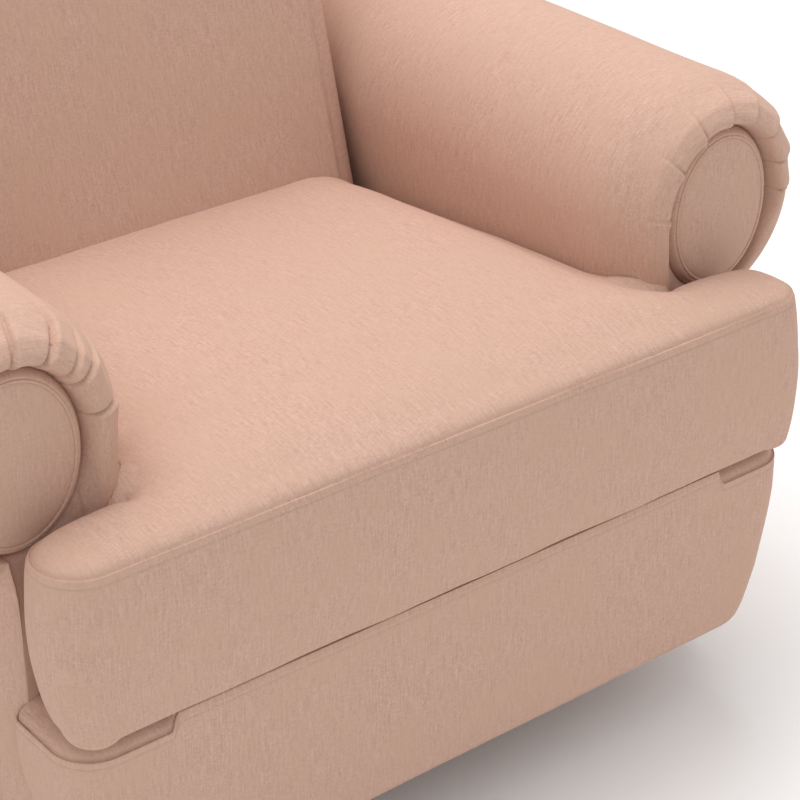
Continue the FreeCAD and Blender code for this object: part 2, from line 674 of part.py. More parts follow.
def make_base():
    ring = doc.addObject("Part::Torus", "base_ring")
    bind(ring, "Radius1", "ring_radius")
    bind(ring, "Radius2", "ring_tube")
    place(ring, ("0", "0", "glide_high + ring_tube"))
    node(ring)
    glides = []
    for i in range(GLIDES):
        angle = math.radians(30 + 360 * i / GLIDES)
        spot = (f"ring_radius * {math.cos(angle):.6f}", f"ring_radius * {math.sin(angle):.6f}")
        glides.append(rod(f"glide{i}", "glide_radius", "0", "glide_high", spot))
    node(group("floor_glides", glides))
    low = "glide_high + 2 * ring_tube"
    bars = [box("spider_bar_x", ("-ring_radius", "-spider_half_width", low),
                ("ring_radius", "spider_half_width", "spider_high")),
            box("spider_bar_y", ("-spider_half_width", "-ring_radius", low),
                ("spider_half_width", "ring_radius", "spider_high"))]
    bore = rod("spider_bore", "king_radius + running", low, "spider_high + 1", ("0", "0"))
    node(cut("base_spider", fuse("spider_bars", bars), bore))
    plate = rod("lower_race_plate", "race_radius", "spider_high", "race_top", ("0", "0"))
    race_bore = rod("lower_race_bore", "king_radius + running", "0", "plate_top", ("0", "0"))
    node(cut("swivel_lower_race", plate, race_bore))
    balls = []
    for i in range(BALLS):
        angle = math.radians(360 * i / BALLS)
        ball = doc.addObject("Part::Sphere", f"ball{i}")
        bind(ball, "Radius", "ball")
        place(ball, (f"ball_circle * {math.cos(angle):.6f}", f"ball_circle * {math.sin(angle):.6f}",
                     "race_top + ball + running / 2"))
        balls.append(ball)
    node(group("swivel_balls", balls))
    head = rod("king_head", "king_radius + 6", f"{low} - 8", low, ("0", "0"))
    shank = rod("king_shank", "king_radius", low, "king_top", ("0", "0"))
    node(fuse("king_bolt", [head, shank]))
    hexagon = doc.addObject("Part::Prism", "king_nut_hexagon")
    hexagon.Polygon = 6
    bind(hexagon, "Circumradius", "king_radius + 7")
    bind(hexagon, "Height", "10")
    place(hexagon, ("0", "0", "plate_top + running"))
    nut_bore = rod("king_nut_bore", "king_radius + running", "plate_top", "king_top + 12", ("0", "0"))
    node(cut("king_nut", hexagon, nut_bore))


def make_swivel():
    """The turning plate with the two lower rails of the glide mechanism on it."""
    bolt_spots = [(f"{x} * (plate_half - 30)", f"{y} * (plate_half - 30)")
                  for x in (-1, 1) for y in (-1, 1)]
    low = "race_top + 2 * ball + running"
    plate = box("upper_plate", ("-plate_half", "-plate_half", low), ("plate_half", "plate_half", "plate_top"))
    bores = [rod(f"upper_plate_hole{i}", "4.05", "55", "70", spot) for i, spot in enumerate(bolt_spots)]
    bores.append(rod("upper_plate_bore", "king_radius + running", "55", "70", ("0", "0")))
    node(cut("swivel_upper_plate", plate, group("upper_plate_bores", bores)))
    members, bolts = [], []
    for i, sign in enumerate((-1, 1)):
        middle = f"{sign} * (plate_half - 30)"
        bar = box(f"cross_member_bar{i}", ("-lower_rail_inner", f"{middle} - 15", "plate_top"),
                  ("lower_rail_inner", f"{middle} + 15", "lower_rail_top"))
        holes = [rod(f"cross_member_hole{i}{j}", "4.05", "plate_top - 1", "lower_rail_top + 1",
                     (f"{side} * (plate_half - 30)", middle)) for j, side in enumerate((-1, 1))]
        members.append(cut(f"cross_member{i}", bar, group(f"cross_member_holes{i}", holes)))
    node(group("swivel_cross_members", members))
    for i, spot in enumerate(bolt_spots):
        head = rod(f"plate_bolt_head{i}", "7", "lower_rail_top", "lower_rail_top + 5", spot)
        shank = rod(f"plate_bolt_shank{i}", "4", low, "lower_rail_top", spot)
        bolts.append(fuse(f"plate_bolt{i}", [head, shank]))
    node(group("swivel_plate_bolts", bolts))
    rail = box("lower_rail_right", ("lower_rail_inner", "-lower_rail_half", "plate_top"),
               ("lower_rail_outer", "lower_rail_half", "lower_rail_top"))
    node(rail)
    node(mirror("lower_rail_left", rail))
    brackets, pins = [], []
    for end, sign in (("front", -1), ("rear", 1)):
        brackets.append(hanger_bracket(f"hanger_bracket_{end}", sign))
        pin = hanger_pin(f"hanger_pin_{end}", f"{sign} * pivot_span")
        pins += [pin, mirror(f"hanger_pin_{end}_left", pin)]
    node(group("hanger_brackets_right", brackets))
    node(group("hanger_brackets_left", [mirror(f"{item.Label}_left", item) for item in brackets]))
    node(group("hanger_pins", pins))


def hanger_bracket(label, sign):
    """An upright plate on the lower rail, narrowing to the eye of the hanging pivot."""
    body = new_body(label)
    sketch = new_sketch(body, "YZ_Plane", label + "_outline", "lower_rail_outer")
    draw_polygon(sketch, (("-35", "plate_top"), ("35", "plate_top"), ("35", "lower_rail_top"),
                          ("14", "pivot_high + 12"), ("-14", "pivot_high + 12"), ("-35", "lower_rail_top")))
    draw_circle(sketch, "eye", "0", "pivot_high", "pin_radius + running")
    pad(body, sketch, label + "_plate", "bracket_thick")
    place(body, ("0", f"{sign} * pivot_span", "0"))
    return body


def hanger_pin(label, y):
    """A headed pin through the bracket, with its clip outside the link."""
    spot = (y, "pivot_high")
    inner, outer = "lower_rail_outer - 4", "link_outer + 4"
    return fuse(label, [rod(label + "_shank", "pin_radius", inner, outer, spot, "x"),
                        rod(label + "_head", "pin_radius + 4", inner, "lower_rail_outer", spot, "x"),
                        rod(label + "_clip", "pin_radius + 3", "link_outer + 1.5", outer, spot, "x")])


# --- links and carrier ----------------------------------------------------------------------

def link_plate(label, y):
    body = new_body(label)
    sketch = new_sketch(body, "YZ_Plane", label + "_outline", "link_inner")
    draw_slot(sketch, "pivot_low", "pivot_high", "link_end")
    for name, height in (("upper_eye", "pivot_high"), ("lower_eye", "pivot_low")):
        draw_circle(sketch, name, "0", height, "bush_radius + running")
    pad(body, sketch, label + "_plate", "link_outer - link_inner")
    place(body, ("0", y, "0"))
    return body


def link_bush(label, y, height):
    spot = (y, height)
    sleeve = rod(label + "_sleeve", "bush_radius", "link_inner - 1", "link_outer + 1", spot, "x")
    return cut(label, sleeve, rod(label + "_bore", "pin_radius + running", "link_inner - 2", "link_outer + 2",
                                  spot, "x"))


def make_links():
    for end, sign in (("front", -1), ("rear", 1)):
        y = f"{sign} * pivot_span"
        plate = link_plate(f"{end}_link_right", y)
        node(plate)
        node(mirror(f"{end}_link_left", plate))
        bushes = []
        for name, height in (("upper", "pivot_high"), ("lower", "pivot_low")):
            bush = link_bush(f"{end}_{name}_bush", y, height)
            bushes += [bush, mirror(f"{end}_{name}_bush_left", bush)]
        node(group(f"{end}_link_bushes", bushes))


def carrier_pin(label, y, radius):
    """A headed pin through the carrier rail, with its clip inside the link."""
    spot = (y, "pivot_low")
    face = "carrier_inner + carrier_thick"
    inner, outer = "link_inner - 3.5", face + " + 4"
    return fuse(label, [rod(label + "_shank", radius, inner, outer, spot, "x"),
                        rod(label + "_head", "pin_radius + 4", face, outer, spot, "x"),
                        rod(label + "_clip", "pin_radius + 2", inner, "link_inner - 1.5", spot, "x")])


def make_carrier():
    web = box("carrier_web", ("carrier_inner", "-carrier_half", "carrier_low"),
              ("carrier_inner + carrier_thick", "carrier_half", "rail_low"))
    flange = box("carrier_flange", ("carrier_inner", "-carrier_half", "rail_low - 4"),
                 ("rail_outer - 1", "carrier_half", "rail_low"))
    pivots = (("-pivot_span", "pin_radius"), ("pivot_span", "open_pin_radius"))
    eyes = [rod(f"carrier_eye{i}", radius, "carrier_inner - 1", "carrier_inner + carrier_thick + 1",
                (y, "pivot_low"), "x")
            for i, (y, radius) in enumerate(pivots)]
    holes = [rod(f"carrier_hole{i}", "4.05", "rail_low - 6", "rail_low + 1", ("rail_outer - 10", y))
             for i, y in enumerate(CARRIER_BOLTS)]
    angle = fuse("carrier_angle", [web, flange])
    right = cut("carrier_rail_right", angle, group("carrier_holes", eyes + holes))
    node(right)
    node(mirror("carrier_rail_left", right))
    tubes = [cut(f"carrier_tube{i}",
                 rod(f"carrier_tube_outside{i}", "tube_radius", "-carrier_inner", "carrier_inner",
                     (f"{sign} * tube_span", "tube_height"), "x"),
                 rod(f"carrier_tube_bore{i}", "tube_radius - 2", "-carrier_inner - 1", "carrier_inner + 1",
                     (f"{sign} * tube_span", "tube_height"), "x"))
             for i, sign in enumerate((-1, 1))]
    node(group("carrier_cross_tubes", tubes))
    pins = [carrier_pin("carrier_pin_front", "-pivot_span", "pin_radius"),
            carrier_pin("carrier_pin_rear", "pivot_span", "open_pin_radius")]
    pins += [mirror(f"{pin.Label}_left", pin) for pin in pins]
    node(group("carrier_pins", pins))
    bolts = [carrier_bolt(f"carrier_bolt{i}", y) for i, y in enumerate(CARRIER_BOLTS)]
    bolts += [mirror(f"{bolt.Label}_left", bolt) for bolt in bolts]
    node(group("carrier_bolts", bolts))


def make_rear_panel():
    """The upholstered board that closes the chair behind, under the leaning back."""
    def slab(label, inset, below=0):
        half = f"(arm_inner - 1 - {inset})"
        front = f"rear_panel_rear - rear_panel_thick + {inset}"
        return box(label, (f"-{half}", front, f"skirt_bottom - {below}"),
                   (half, f"rear_panel_rear - {inset}", f"rear_panel_top - {inset}"))

    cover = dim("cover_thick")
    node(cut("rear_panel_cover", slab("rear_panel_outside", 0), slab("rear_panel_lining", cover, below=1)))
    node(slab("rear_panel_board", cover + dim("layer_gap"), below=-3))


def finish():
    doc.removeObject("Probe")
    doc.recompute()
    for item in doc.Objects:
        if "Invalid" in item.State or "Error" in item.State:
            raise RuntimeError(f"{item.Name} failed: {item.State}")
    for piece in nodes:
        if piece.Shape.isNull() or not piece.Shape.isValid() or not piece.Shape.Solids:
            raise RuntimeError(f"{piece.Label} has no valid solid")
    os.makedirs("parts", exist_ok=True)
    for piece in nodes:
        piece.Shape.exportStep(f"parts/{piece.Label}.step")
    whole = Part.makeCompound([piece.Shape for piece in nodes]).optimalBoundingBox(False)
    print(len(nodes), "nodes", whole)


fill_sheet()
make_seat_cushion()
make_arms()
make_front_panel()
make_back()
make_rear_panel()
make_seat_frame()
make_springs()
make_base()
make_swivel()
make_links()
make_carrier()
finish()
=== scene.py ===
import json
import math

import bpy
import numpy as np
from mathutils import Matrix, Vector, noise
from mathutils.geometry import delaunay_2d_cdt


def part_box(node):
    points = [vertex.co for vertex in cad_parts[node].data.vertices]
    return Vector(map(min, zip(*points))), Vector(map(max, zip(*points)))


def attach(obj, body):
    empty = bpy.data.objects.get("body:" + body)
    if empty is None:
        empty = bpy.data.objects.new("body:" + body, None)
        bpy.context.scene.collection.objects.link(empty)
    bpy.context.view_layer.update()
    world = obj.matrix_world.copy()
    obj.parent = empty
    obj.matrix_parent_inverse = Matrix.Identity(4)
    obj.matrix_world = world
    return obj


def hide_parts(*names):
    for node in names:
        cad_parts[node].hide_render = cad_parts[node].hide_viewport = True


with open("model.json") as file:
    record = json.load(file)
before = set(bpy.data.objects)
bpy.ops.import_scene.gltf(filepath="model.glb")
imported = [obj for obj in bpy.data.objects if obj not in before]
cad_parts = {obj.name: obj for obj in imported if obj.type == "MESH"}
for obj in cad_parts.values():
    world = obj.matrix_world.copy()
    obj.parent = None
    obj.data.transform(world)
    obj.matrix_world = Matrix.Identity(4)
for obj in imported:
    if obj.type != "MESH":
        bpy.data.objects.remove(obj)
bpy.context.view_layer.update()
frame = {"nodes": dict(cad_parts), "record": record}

# Metres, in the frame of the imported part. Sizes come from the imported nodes, and the few lengths
# that the nodes don't hold, such as seams and pleats, are named here.
X, Y, Z = (np.array(v, float) for v in ((1, 0, 0), (0, 1, 0), (0, 0, 1)))
MM = 0.001
RAKE = math.radians(16)
UP_BACK = np.array((0, math.sin(RAKE), math.cos(RAKE)))
INTO_BACK = np.array((0, math.cos(RAKE), -math.sin(RAKE)))
BACK_FOOT = np.array((0, 0.0074, 0.258))


# --- outlines and grids ---------------------------------------------------------------------

def rounded_outline(corners, radii, step):
    """Evenly spaced points round a counter-clockwise polygon whose corners are rounded."""
    count = len(corners)
    corners = [np.array(c, float) for c in corners]
    path = []
    for i, corner in enumerate(corners):
        before, after = corners[i - 1] - corner, corners[(i + 1) % count] - corner
        before, after = before / np.linalg.norm(before), after / np.linalg.norm(after)
        angle = math.acos(float(np.clip(before @ after, -1, 1)))
        reach = radii[i] / math.tan(angle / 2)
        start, stop = corner + before * reach, corner + after * reach
        bisector = (before + after) / np.linalg.norm(before + after)
        centre = corner + bisector * radii[i] / math.sin(angle / 2)
        a, b = start - centre, stop - centre
        turn = math.atan2(a[0] * b[1] - a[1] * b[0], float(a @ b))
        for k in range(25):
            t = turn * k / 24
            path.append(centre + np.array((a[0] * math.cos(t) - a[1] * math.sin(t),
                                           a[0] * math.sin(t) + a[1] * math.cos(t))))
    path.append(path[0])
    return resample(np.array(path), step)


def resample(path, step):
    """Evenly spaced points along a closed path given with its first point repeated at its end."""
    lengths = np.concatenate(([0], np.cumsum(np.linalg.norm(np.diff(path, axis=0), axis=1))))
    count = max(8, int(round(lengths[-1] / step)))
    at = np.linspace(0, lengths[-1], count, endpoint=False)
    return np.stack([np.interp(at, lengths, path[:, k]) for k in range(path.shape[1])], 1)


def outward(loop):
    """Unit normals of a counter-clockwise loop of points in a plane, pointing outwards."""
    along = np.roll(loop, -1, 0) - np.roll(loop, 1, 0)
    along /= np.linalg.norm(along, axis=1)[:, None]
    return np.stack((along[:, 1], -along[:, 0]), 1)


def inside(points, loop):
    """Which points lie inside a closed loop."""
    hit = np.zeros(len(points), bool)
    a, b = loop, np.roll(loop, -1, 0)
    for (ax, ay), (bx, by) in zip(a, b):
        if ay == by:
            continue
        crosses = (ay > points[:, 1]) != (by > points[:, 1])
        hit ^= crosses & (points[:, 0] < ax + (points[:, 1] - ay) * (bx - ax) / (by - ay))
    return hit


def distance_to(points, loop):
    """How far each point is from a closed loop."""
    a, b = loop, np.roll(loop, -1, 0)
    d = b - a
    best = np.full(len(points), 1e9)
    for start, way in zip(a, d):
        t = np.clip(((points - start) @ way) / (way @ way + 1e-18), 0, 1)
        gap = points - start - t[:, None] * way
        best = np.minimum(best, np.einsum("ij,ij->i", gap, gap))
    return np.sqrt(best)


def fill_grid(loop, spacing, margin):
    """Grid points inside a loop, at least margin from it."""
    low, high = loop.min(0), loop.max(0)
    xs = np.arange(low[0] + spacing / 2, high[0], spacing)
    ys = np.arange(low[1] + spacing / 2, high[1], spacing)
    points = np.stack(np.meshgrid(xs, ys), -1).reshape(-1, 2)
    points = points[inside(points, loop)]
    return points[distance_to(points, loop[::2]) > margin]


def cap(loop, spacing):
    """Triangles that fill a loop: the points inside it and faces over loop points, then those."""
    points = fill_grid(loop, spacing, spacing * 0.6)
    verts = [Vector(p) for p in loop] + [Vector(p) for p in points]
    count = len(loop)
    result = delaunay_2d_cdt(verts, [(i, (i + 1) % count) for i in range(count)], [], 1, 1e-7)
    origins = result[3]
    number = [o[0] if o else -1 for o in origins]
    faces = [[number[v] for v in face] for face in result[2]]
    return points, [face for face in faces if min(face) >= 0]


def smooth_heights(heights, faces, fixed, passes):
    """Evens out heights over a triangle mesh. The first points, as many as fixed, stay."""
    pairs = np.array([(f[i], f[(i + 1) % len(f)]) for f in faces for i in range(len(f))])
    pairs = np.concatenate((pairs, pairs[:, ::-1]))
    degree = np.bincount(pairs[:, 0], minlength=len(heights)).astype(float)
    degree[degree == 0] = 1
    for _ in range(passes):
        total = np.bincount(pairs[:, 0], weights=heights[pairs[:, 1]], minlength=len(heights))
        heights[fixed:] += 0.6 * (total / degree - heights)[fixed:]
    return heights


def ramp(t):
    """A smooth rise from zero to one."""
    t = np.clip(t, 0, 1)
    return t * t * (3 - 2 * t)


def wobble(points, scale, seed):
    """Smooth noise from -1 to 1 at each point."""
    shift = Vector((seed * 7.13, seed * 3.71, seed * 5.37))
    return np.array([noise.noise(Vector(p) / scale + shift) for p in points])


# --- mesh making ----------------------------------------------------------------------------

def make_object(name, verts, faces, cloth=None, material=None):
    """A smooth-shaded piece. cloth holds a flat coordinate of the fabric for each point."""
    mesh = bpy.data.meshes.new(name)
    mesh.from_pydata([tuple(v) for v in verts], [], [tuple(f) for f in faces])
    mesh.update()
    mesh.polygons.foreach_set("use_smooth", [True] * len(mesh.polygons))
    if cloth is not None:
        layer = mesh.attributes.new("cloth", "FLOAT_VECTOR", "POINT")
        flat = np.zeros((len(verts), 3), np.float32)
        flat[:, :2] = cloth
        layer.data.foreach_set("vector", flat.ravel())
    piece = bpy.data.objects.new(name, mesh)
    bpy.context.scene.collection.objects.link(piece)
    if material is not None:
        mesh.materials.append(material)
    return piece


def bridge(first, second, count):
    """Quads between two closed rings of the same count, by the numbers of their first points."""
    return [(first + i, first + (i + 1) % count, second + (i + 1) % count, second + i) for i in range(count)]


class Axes:
    """Where a puffed piece lies: its origin and the directions across, up and out of its face."""

    def __init__(self, origin, across, up, out):
        self.origin, self.across, self.up, self.out = (np.array(v, float) for v in (origin, across, up, out))

    def place(self, flat, height):
        return (self.origin + flat[:, :1] * self.across + flat[:, 1:2] * self.up
                + np.asarray(height, float).reshape(-1, 1) * self.out)


def puffed(name, loop, axes, crown, profile, material, spacing=0.007, reach=0.13, lift=None,
           shift=None, passes=25, floor_spacing=0.02, rim=(0.002, 0.006, 0.011)):
    """A stuffed piece: a crowned face over the outline loop, sides that follow profile, and a flat rear.

    profile lists (outset, height) rows from the edge of the face down to the rear. lift gives extra
    height at points of the face, and shift moves finished side points by the row's depth.
    """
    count = len(loop)
    normals = outward(loop)
    arc = np.concatenate(([0], np.cumsum(np.linalg.norm(np.diff(loop, axis=0), axis=1))))
    verts, cloth, faces = [], [], []

    def face_height(flat):
        gap = np.clip(distance_to(flat, loop) / reach, 0, 1)
        height = crown * (1 - (1 - gap) ** 2.4)
        return height + (lift(flat) if lift else 0)

    rows = []
    for inset in reversed(rim):
        rows.append((-inset, None))
    rows += [(out, high) for out, high in profile]
    inner = loop - normals * rim[-1]
    points, triangles = cap(inner, spacing)
    flat = np.concatenate((inner, points))
    heights = face_height(flat)
    heights = smooth_heights(heights, triangles, count, passes)
    verts.append(axes.place(flat, heights))
    cloth.append(flat)
    faces += triangles
    previous, total = 0, len(flat)
    base_lift = lift(loop) if lift else np.zeros(count)
    for out, high in rows[1:]:
        ring = loop + normals * out
        if high is None:
            height = face_height(ring)
            weave = ring
        else:
            height = high + base_lift * max(0.0, 1 + high / 0.05)
            weave = np.stack((arc, np.full(count, loop[:, 1].min() + high)), 1)
            if shift is not None:
                ring = ring + shift(ring, normals, high)
        verts.append(axes.place(ring, height))
        cloth.append(weave)
        faces += [f[::-1] for f in bridge(previous, total, count)]
        previous, total = total, total + count
    last = (verts[-1] - axes.origin) @ np.stack((axes.across, axes.up), 1)
    points, triangles = cap(last, floor_spacing)
    depth = float(np.mean((verts[-1] - axes.origin) @ axes.out))
    verts.append(axes.place(points, np.full(len(points), depth)))
    cloth.append(points)
    faces += [tuple((previous + v) if v < count else (total + v - count) for v in t)[::-1] for t in triangles]
    return make_object(name, np.concatenate(verts), faces, np.concatenate(cloth), material)


# --- materials ------------------------------------------------------------------------------

class Nodes:
    """A new node material, with short names for adding and joining its nodes."""

    def __init__(self, name):
        self.material = bpy.data.materials.new(name)
        self.material.use_nodes = True
        self.tree = self.material.node_tree
        self.shader = self.tree.nodes["Principled BSDF"]

    def add(self, kind, **values):
        node = self.tree.nodes.new(kind)
        for key, value in values.items():
            if hasattr(node, key):
                setattr(node, key, value)
            else:
                node.inputs[key.replace("_", " ")].default_value = value
        return node

    def join(self, source, target):
        self.tree.links.new(source, target)

    def scaled(self, source, scale):
        node = self.add("ShaderNodeMapping")
        node.inputs["Scale"].default_value = scale
        self.join(source, node.inputs["Vector"])
        return node.outputs["Vector"]

    def noise(self, source, scale, detail=2.0, rough=0.5):
        node = self.add("ShaderNodeTexNoise", Scale=scale, Detail=detail, Roughness=rough)
        self.join(source, node.inputs["Vector"])
        return node.outputs["Fac"]

    def math(self, kind, a, b=0.0):
        node = self.add("ShaderNodeMath", operation=kind)
        for socket, value in zip(node.inputs, (a, b)):
            if isinstance(value, (int, float)):
                socket.default_value = value
            else:
                self.join(value, socket)
        return node.outputs[0]

    def ramp(self, fac, stops):
        node = self.add("ShaderNodeValToRGB")
        elements = node.color_ramp.elements
        while len(elements) < len(stops):
            elements.new(0.5)
        for element, (place, colour) in zip(elements, stops):
            element.position = place
            element.color = (*colour, 1)
        self.join(fac, node.inputs["Fac"])
        return node.outputs["Color"]

    def mix(self, kind, fac, a, b):
        node = self.add("ShaderNodeMix", data_type="RGBA", blend_type=kind)
        for socket, value in ((node.inputs[0], fac), (node.inputs[6], a), (node.inputs[7], b)):
            if isinstance(value, (int, float)):
                socket.default_value = value
            elif isinstance(value, tuple):
                socket.default_value = (*value, 1)
            else:
                self.join(value, socket)
        return node.outputs[2]

    def bump(self, height, strength, distance, below=None):
        node = self.add("ShaderNodeBump", Strength=strength, Distance=distance)
        self.join(height, node.inputs["Height"])
        if below is not None:
            self.join(below, node.inputs["Normal"])
        return node.outputs["Normal"]


def chenille(name, dark, light, warm):
    """Brushed woven fabric: fine upright threads crossed by a finer weft, slubs and soft mottling."""
    n = Nodes(name)
    weave = n.add("ShaderNodeAttribute", attribute_name="cloth").outputs["Vector"]
    place = n.add("ShaderNodeTexCoord").outputs["Object"]
    ribs = n.noise(n.scaled(weave, (1150, 60, 1)), 1.0, 3.0, 0.6)
    weft = n.noise(n.scaled(weave, (150, 1300, 1)), 1.0, 2.0, 0.5)
    slub = n.noise(n.scaled(weave, (420, 26, 1)), 1.0, 2.0, 0.5)
    mottle = n.noise(place, 26.0, 4.0, 0.62)
    broad = n.noise(place, 7.0, 2.0, 0.5)
    fine = n.noise(place, 420.0, 2.0, 0.6)
    tone = n.math("ADD", n.math("MULTIPLY", ribs, 0.40), n.math("MULTIPLY", weft, 0.24))
    tone = n.math("ADD", tone, n.math("MULTIPLY", slub, 0.12))
    tone = n.math("ADD", tone, n.math("MULTIPLY", fine, 0.24))
    colour = n.ramp(tone, ((0.38, dark), (0.62, light)))
    patches = n.math("ADD", n.math("MULTIPLY", mottle, 0.6), n.math("MULTIPLY", broad, 0.4))
    share = n.math("MULTIPLY", n.ramp(patches, ((0.42, (0, 0, 0)), (0.60, (1, 1, 1)))), 0.55)
    colour = n.mix("MIX", share, colour, warm)
    n.join(colour, n.shader.inputs["Base Color"])
    n.join(n.bump(tone, 0.35, 0.0006), n.shader.inputs["Normal"])
    n.shader.inputs["Roughness"].default_value = 0.95
    n.shader.inputs["Specular IOR Level"].default_value = 0.08
    n.shader.inputs["Sheen Weight"].default_value = 0.10
    n.shader.inputs["Sheen Roughness"].default_value = 0.5
    n.shader.inputs["Sheen Tint"].default_value = (1.0, 0.80, 0.70, 1)
    return n.material


def tint(colour, factor):
    """A colour made darker or lighter, at most white."""
    return tuple(min(1, c * factor) for c in colour)


def thread(name, colour):
    """Twisted sewing thread."""
    n = Nodes(name)
    place = n.add("ShaderNodeTexCoord").outputs["Object"]
    twist = n.noise(place, 900.0, 2.0)
    n.join(n.ramp(twist, ((0.3, tint(colour, 0.7)), (0.7, colour))), n.shader.inputs["Base Color"])
    n.join(n.bump(twist, 0.3, 0.0003), n.shader.inputs["Normal"])
    n.shader.inputs["Roughness"].default_value = 0.75
    return n.material


def plain_cloth(name, dark, light, pitch):
    """Plain woven cloth, as under the seat."""
    n = Nodes(name)
    place = n.add("ShaderNodeTexCoord").outputs["Object"]
    warp = n.noise(n.scaled(place, (pitch, pitch / 12, pitch / 12)), 1.0, 2.0)
    weft = n.noise(n.scaled(place, (pitch / 12, pitch, pitch / 12)), 1.0, 2.0)
    tone = n.math("ADD", n.math("MULTIPLY", warp, 0.5), n.math("MULTIPLY", weft, 0.5))
    n.join(n.ramp(tone, ((0.35, dark), (0.65, light))), n.shader.inputs["Base Color"])
    n.join(n.bump(tone, 0.3, 0.0006), n.shader.inputs["Normal"])
    n.shader.inputs["Roughness"].default_value = 0.95
    return n.material


def timber(name):
    """Planed softwood with long grain and fine pores."""
    n = Nodes(name)
    place = n.add("ShaderNodeTexCoord").outputs["Object"]
    grain = n.noise(n.scaled(place, (60, 5, 60)), 1.0, 5.0, 0.6)
    pores = n.noise(n.scaled(place, (600, 30, 600)), 1.0, 2.0)
    colour = n.ramp(grain, ((0.3, (0.42, 0.27, 0.14)), (0.7, (0.66, 0.48, 0.29))))
    colour = n.mix("MULTIPLY", 0.35, colour, n.ramp(pores, ((0.35, (0.55, 0.5, 0.45)), (0.55, (1, 1, 1)))))
    n.join(colour, n.shader.inputs["Base Color"])
    n.join(n.bump(grain, 0.15, 0.001), n.shader.inputs["Normal"])
    n.shader.inputs["Roughness"].default_value = 0.6
    return n.material


def metal(name, colour, metallic, roughness, speckle):
    """Steel, bright or powder coated, with fine unevenness and duller patches."""
    n = Nodes(name)
    place = n.add("ShaderNodeTexCoord").outputs["Object"]
    patches = n.noise(place, 25.0, 4.0)
    grains = n.noise(place, speckle, 2.0)
    tones = n.ramp(patches, ((0.3, tint(colour, 0.8)), (0.7, tint(colour, 1.15))))
    n.join(tones, n.shader.inputs["Base Color"])
    n.join(n.math("ADD", n.math("MULTIPLY", patches, 0.15), roughness - 0.07), n.shader.inputs["Roughness"])
    n.join(n.bump(grains, 0.12, 0.0004), n.shader.inputs["Normal"])
    n.shader.inputs["Metallic"].default_value = metallic
    return n.material


def plastic(name, colour):
    """Moulded plastic with a fine grain."""
    n = Nodes(name)
    place = n.add("ShaderNodeTexCoord").outputs["Object"]
    grain = n.noise(place, 1500.0, 2.0)
    n.join(n.ramp(grain, ((0.3, tint(colour, 0.9)), (0.7, colour))), n.shader.inputs["Base Color"])
    n.join(n.bump(grain, 0.15, 0.0002), n.shader.inputs["Normal"])
    n.shader.inputs["Roughness"].default_value = 0.5
    return n.material


FABRIC = chenille("blush_chenille", (0.50, 0.305, 0.235), (0.67, 0.450, 0.362), (0.58, 0.385, 0.285))
STITCH = thread("stitch_thread", (0.44, 0.26, 0.20))
DECK = plain_cloth("deck_cloth", (0.40, 0.25, 0.19), (0.55, 0.37, 0.29), 900)
DUST = plain_cloth("dust_cloth", (0.012, 0.012, 0.013), (0.04, 0.04, 0.042), 500)
CAD_MATERIALS = {
    "timber": timber("planed_timber"),
    "spring_steel": metal("spring_steel", (0.30, 0.30, 0.31), 1.0, 0.35, 900.0),
    "black_steel": metal("black_powder_coat", (0.022, 0.022, 0.024), 0.0, 0.45, 1400.0),
    "zinc_steel": metal("bright_zinc", (0.60, 0.60, 0.58), 1.0, 0.3, 1200.0),
    "nylon": plastic("natural_nylon", (0.80, 0.78, 0.70)),
    "glide_plastic": plastic("glide_plastic", (0.03, 0.03, 0.03)),
}


def finish_piece(piece, body, stands_for=()):
    """Gives a piece its body and hides the nodes that it stands for."""
    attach(piece, body)
    if stands_for:
        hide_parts(*stands_for)
    return piece


# --- seat cushion ---------------------------------------------------------------------------

SEAM_HEIGHT = 0.4066
SEAT_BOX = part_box("seat_cushion_cover")
EAR_HALF = SEAT_BOX[1].x - 10 * MM
SEAT_FRONT = SEAT_BOX[0].y + 6 * MM
SEAT_BOTTOM = SEAT_BOX[0].z
NECK_HALF = 0.2505
EAR_REAR = SEAT_FRONT + 0.080
BACK_GAP = 1.5 * MM
EAR_TURN, EAR_REAR_TURN, EAR_SLANT = 0.034, 0.038, 0.009
EAR_ROOT = 0.292
SEAM_ROLL, SEAT_CROWN, NOTCH_DIP = 0.008, 0.021, 0.006
REAR_FALL, REAR_TUCK = 0.012, 0.010
ARM_SIDE_RISE, ARM_SIDE_FALL = 0.011, 0.045


def back_depth(height):
    """How far back the cushion reaches at a height, just clear of the leaning back."""
    return BACK_FOOT[1] - BACK_GAP + (height - BACK_FOOT[2]) * math.tan(RAKE)


def seat_outline():
    """The cushion's T seen from above, along its top seam."""
    rear = back_depth(SEAM_HEIGHT) + 2 * MM
    beside = ((NECK_HALF + 11 * MM, EAR_REAR + 0.031), (NECK_HALF + 6 * MM, EAR_REAR + 0.048),
              (NECK_HALF + 1 * MM, EAR_REAR + 0.070), (NECK_HALF, rear))
    right = ((EAR_HALF, EAR_REAR - EAR_SLANT), (EAR_ROOT, EAR_REAR)) + beside
    left = tuple((-x, y) for x, y in right[::-1])
    corners = ((-EAR_HALF, SEAT_FRONT), (EAR_HALF, SEAT_FRONT)) + right + left
    turns = (EAR_REAR_TURN, 0.022, 0.004, 0.012, 0.012, 0.026)
    return rounded_outline(corners, (EAR_TURN, EAR_TURN) + turns + turns[::-1], 3 * MM)


def from_corner(a, b, radius):
    """How far points are inside a rounded corner, from their distances to its two sides."""
    over = np.hypot(np.clip(radius - a, 0, None), np.clip(radius - b, 0, None))
    return np.where(np.minimum(a, b) < radius, radius - over, np.minimum(a, b))


